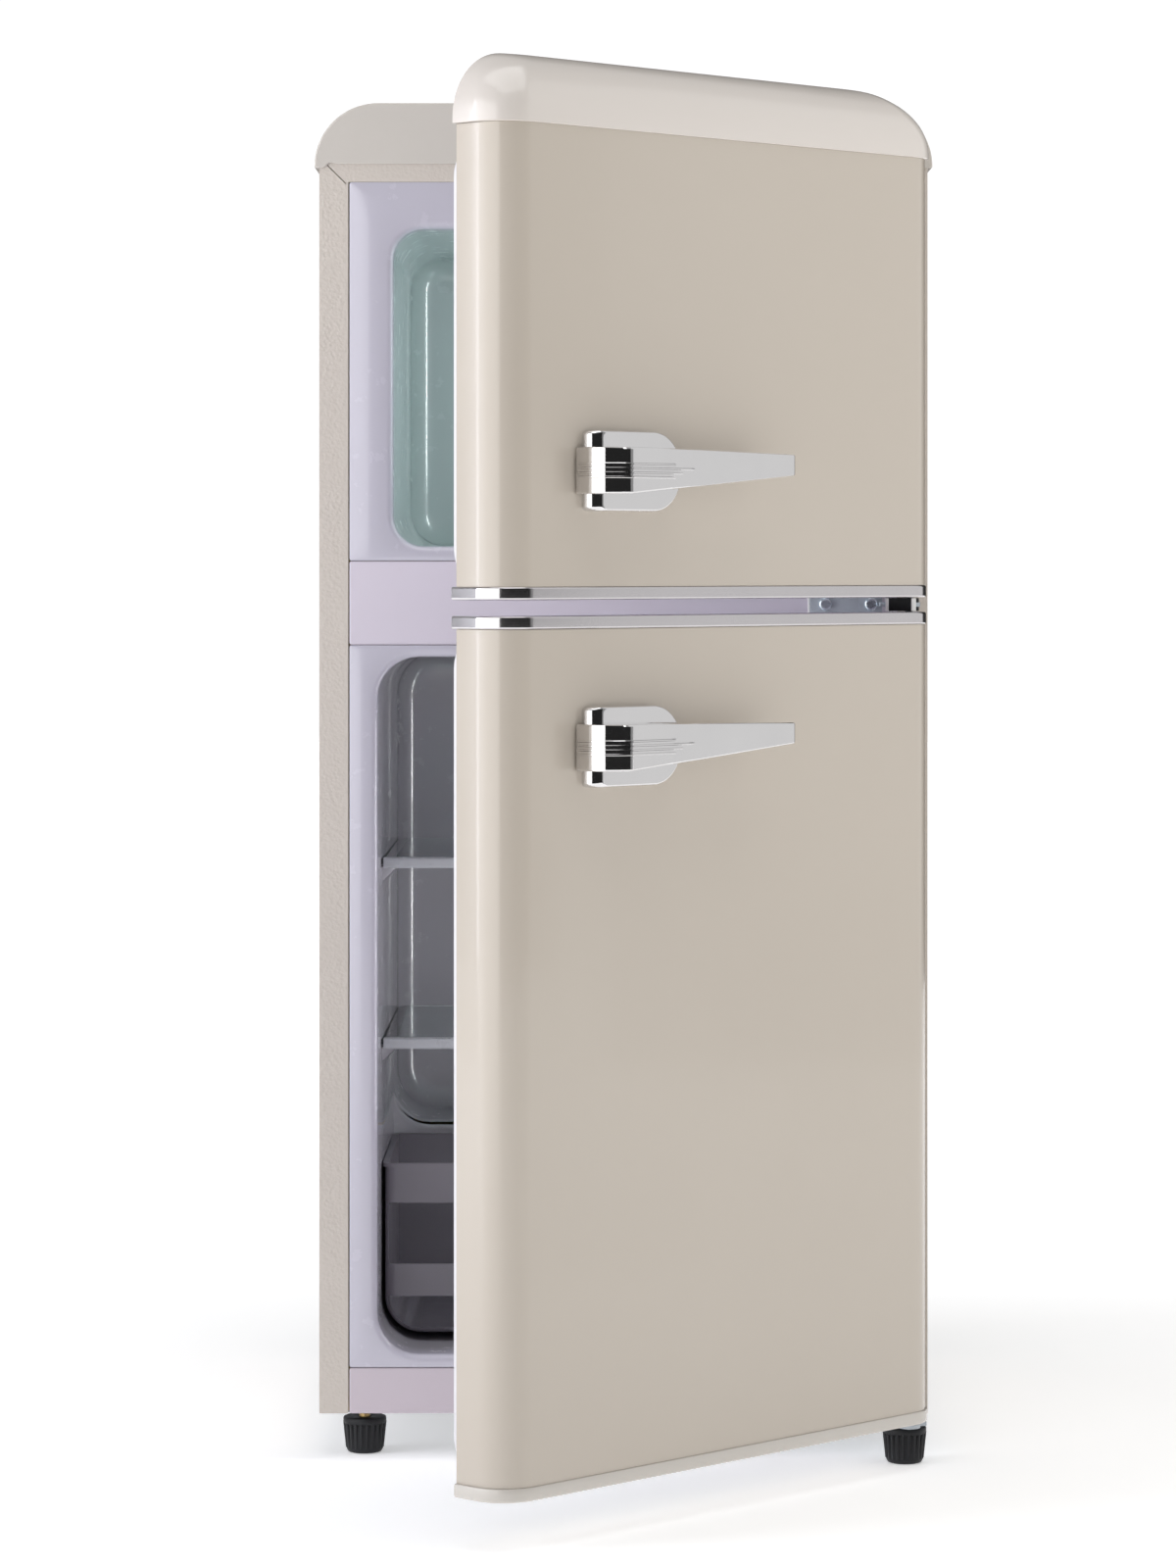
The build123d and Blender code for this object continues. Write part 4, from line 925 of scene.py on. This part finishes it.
def makeFloor():
    s = stage["floor"]
    mesh = bpy.data.meshes.new("paleFloor")
    mesh.from_pydata([(-s, -s, 0), (s, -s, 0), (s, s, 0), (-s, s, 0)], [], [(0, 1, 2, 3)])
    floor = bpy.data.objects.new("paleFloor", mesh)
    bpy.context.scene.collection.objects.link(floor)

    def varying(w, place):
        speck = noiseAt(w, place, 30.0, 3.0)
        away = w.add("ShaderNodeVectorMath", {"operation": "LENGTH"}, {0: place}, "Value")
        far = w.add("ShaderNodeMapRange", {}, {0: away, 1: 0.5, 2: 2.6, 3: stage["glow"], 4: stage["farGlow"]})
        return {"Base Color": mixColour(w, speck, (0.92, 0.92, 0.92, 1), (0.94, 0.94, 0.94, 1)),
                "Roughness": 0.75 + 0.1 * speck,
                "Emission Color": mixColour(w, far, (0, 0, 0, 1), (1, 1, 1, 1))}
    constants = {"Emission Strength": 1.0, "Specular IOR Level": 0.2}
    mesh.materials.append(newMaterial("floorWhite", constants, varying))


def makeWorld():
    world = bpy.data.worlds.new("studio")
    bpy.context.scene.world = world
    world.use_nodes = True
    tree = world.node_tree
    w = Wire(tree)
    seen = w.add("ShaderNodeLightPath", output="Is Camera Ray")
    strength = stage["world"] + (1.05 - stage["world"]) * seen
    background = tree.nodes["Background"]
    background.inputs["Color"].default_value = (1.0, 1.0, 1.0, 1)
    tree.links.new(strength.socket, background.inputs["Strength"])


def areaLight(name, place, aim, size, power, colour, mirrored):
    light = bpy.data.lights.new(name, "AREA")
    light.shape = "RECTANGLE"
    light.size, light.size_y = size
    light.energy = power
    light.color = colour
    obj = bpy.data.objects.new(name, light)
    bpy.context.scene.collection.objects.link(obj)
    obj.location = place
    obj.rotation_euler = (Vector(aim) - Vector(place)).to_track_quat("-Z", "Y").to_euler()
    obj.visible_glossy = mirrored


def mirrorCard(name, radius, fromDeg, toDeg, z0, z1, shade):
    # curved screen seen only in reflections; angles are measured from -Y towards +X
    steps = 24
    verts, faces = [], []
    for k in range(steps + 1):
        a = math.radians(fromDeg + (toDeg - fromDeg) * k / steps)
        x, y = radius * math.sin(a), -radius * math.cos(a)
        verts += [(x, y, z0), (x, y, z1)]
        if k:
            faces.append((2 * k - 2, 2 * k, 2 * k + 1, 2 * k - 1))
    mesh = bpy.data.meshes.new(name)
    mesh.from_pydata(verts, [], faces)
    card = bpy.data.objects.new(name, mesh)
    bpy.context.scene.collection.objects.link(card)
    material = bpy.data.materials.new(name)
    material.use_nodes = True
    shader = material.node_tree.nodes["Principled BSDF"]
    shader.inputs["Base Color"].default_value = (0, 0, 0, 1)
    shader.inputs["Specular IOR Level"].default_value = 0.0
    shader.inputs["Emission Color"].default_value = (1, 1, 1, 1)
    shader.inputs["Emission Strength"].default_value = shade
    mesh.materials.append(material)
    for ray in ("visible_camera", "visible_diffuse", "visible_shadow", "visible_transmission"):
        setattr(card, ray, False)


camera = {"x": -0.0256, "eye": 0.646, "distance": 3.50, "lens": 111.1, "shift": -0.1406}


def makeCamera():
    data = bpy.data.cameras.new("camera")
    data.sensor_width = 36.0
    data.sensor_fit = "AUTO"
    data.lens = camera["lens"]
    data.shift_y = camera["shift"]
    data.clip_end = 60.0
    obj = bpy.data.objects.new("camera", data)
    bpy.context.scene.collection.objects.link(obj)
    obj.location = (camera["x"], shellLow.y - camera["distance"], camera["eye"])
    obj.rotation_euler = (math.radians(90), 0, 0)
    bpy.context.scene.camera = obj


inside = shellLow.y + 0.03  # just behind the cabinet's front
rear = shellLow.y + 0.33
# place, aim, size, power, colour and whether the light is seen in reflections
lights = {
    "keyLeft": ((-2.82, -1.10, 1.2), (0, 0, 0.55), (1.2, 2.2), 47.0, (0.96, 0.985, 1.07), True),
    "fillTop": ((0.3, -0.4, 3.2), (0, 0, 0.4), (2.4, 2.4), 30.0, (1, 1, 1), True),
    "fillRight": ((1.0, -0.42, 0.78), (0.15, -0.1, 0.6), (0.4, 1.4), 1.9, (1, 1, 1), False),
    "freezerGlow": ((0.10, inside, 0.80), (-0.12, rear, 0.76), (0.02, 0.16), 0.42, (0.9, 1.0, 1.0), True),
    "fridgeGlow": ((0.15, inside, 0.36), (-0.15, rear, 0.36), (0.02, 0.30), 0.75, (1, 1, 1), True)}
# radius, from and to angle, low and high edge, brightness
cards = {
    "darkFront": (4.6, -14, 75, -0.5, 4.0, 0.02), "greyRight": (4.4, 75, 84, -0.5, 4.0, 0.30),
    "greyLeft": (4.8, -110, -72, -0.5, 4.0, 0.22), "whiteLeft": (2.6, -72, -14, -0.2, 2.4, 2.2),
    "paleRight": (3.0, 84, 124, -1.5, 4.0, 0.76), "darkBehind": (4.0, 124, 200, -0.5, 4.0, 0.03)}

makeFloor()
makeWorld()
for name, values in lights.items():
    areaLight(name, *values)
for name, values in cards.items():
    mirrorCard(name, *values)
bpy.context.scene.view_settings.view_transform = "Standard"
makeCamera()
print("stage, light and camera")
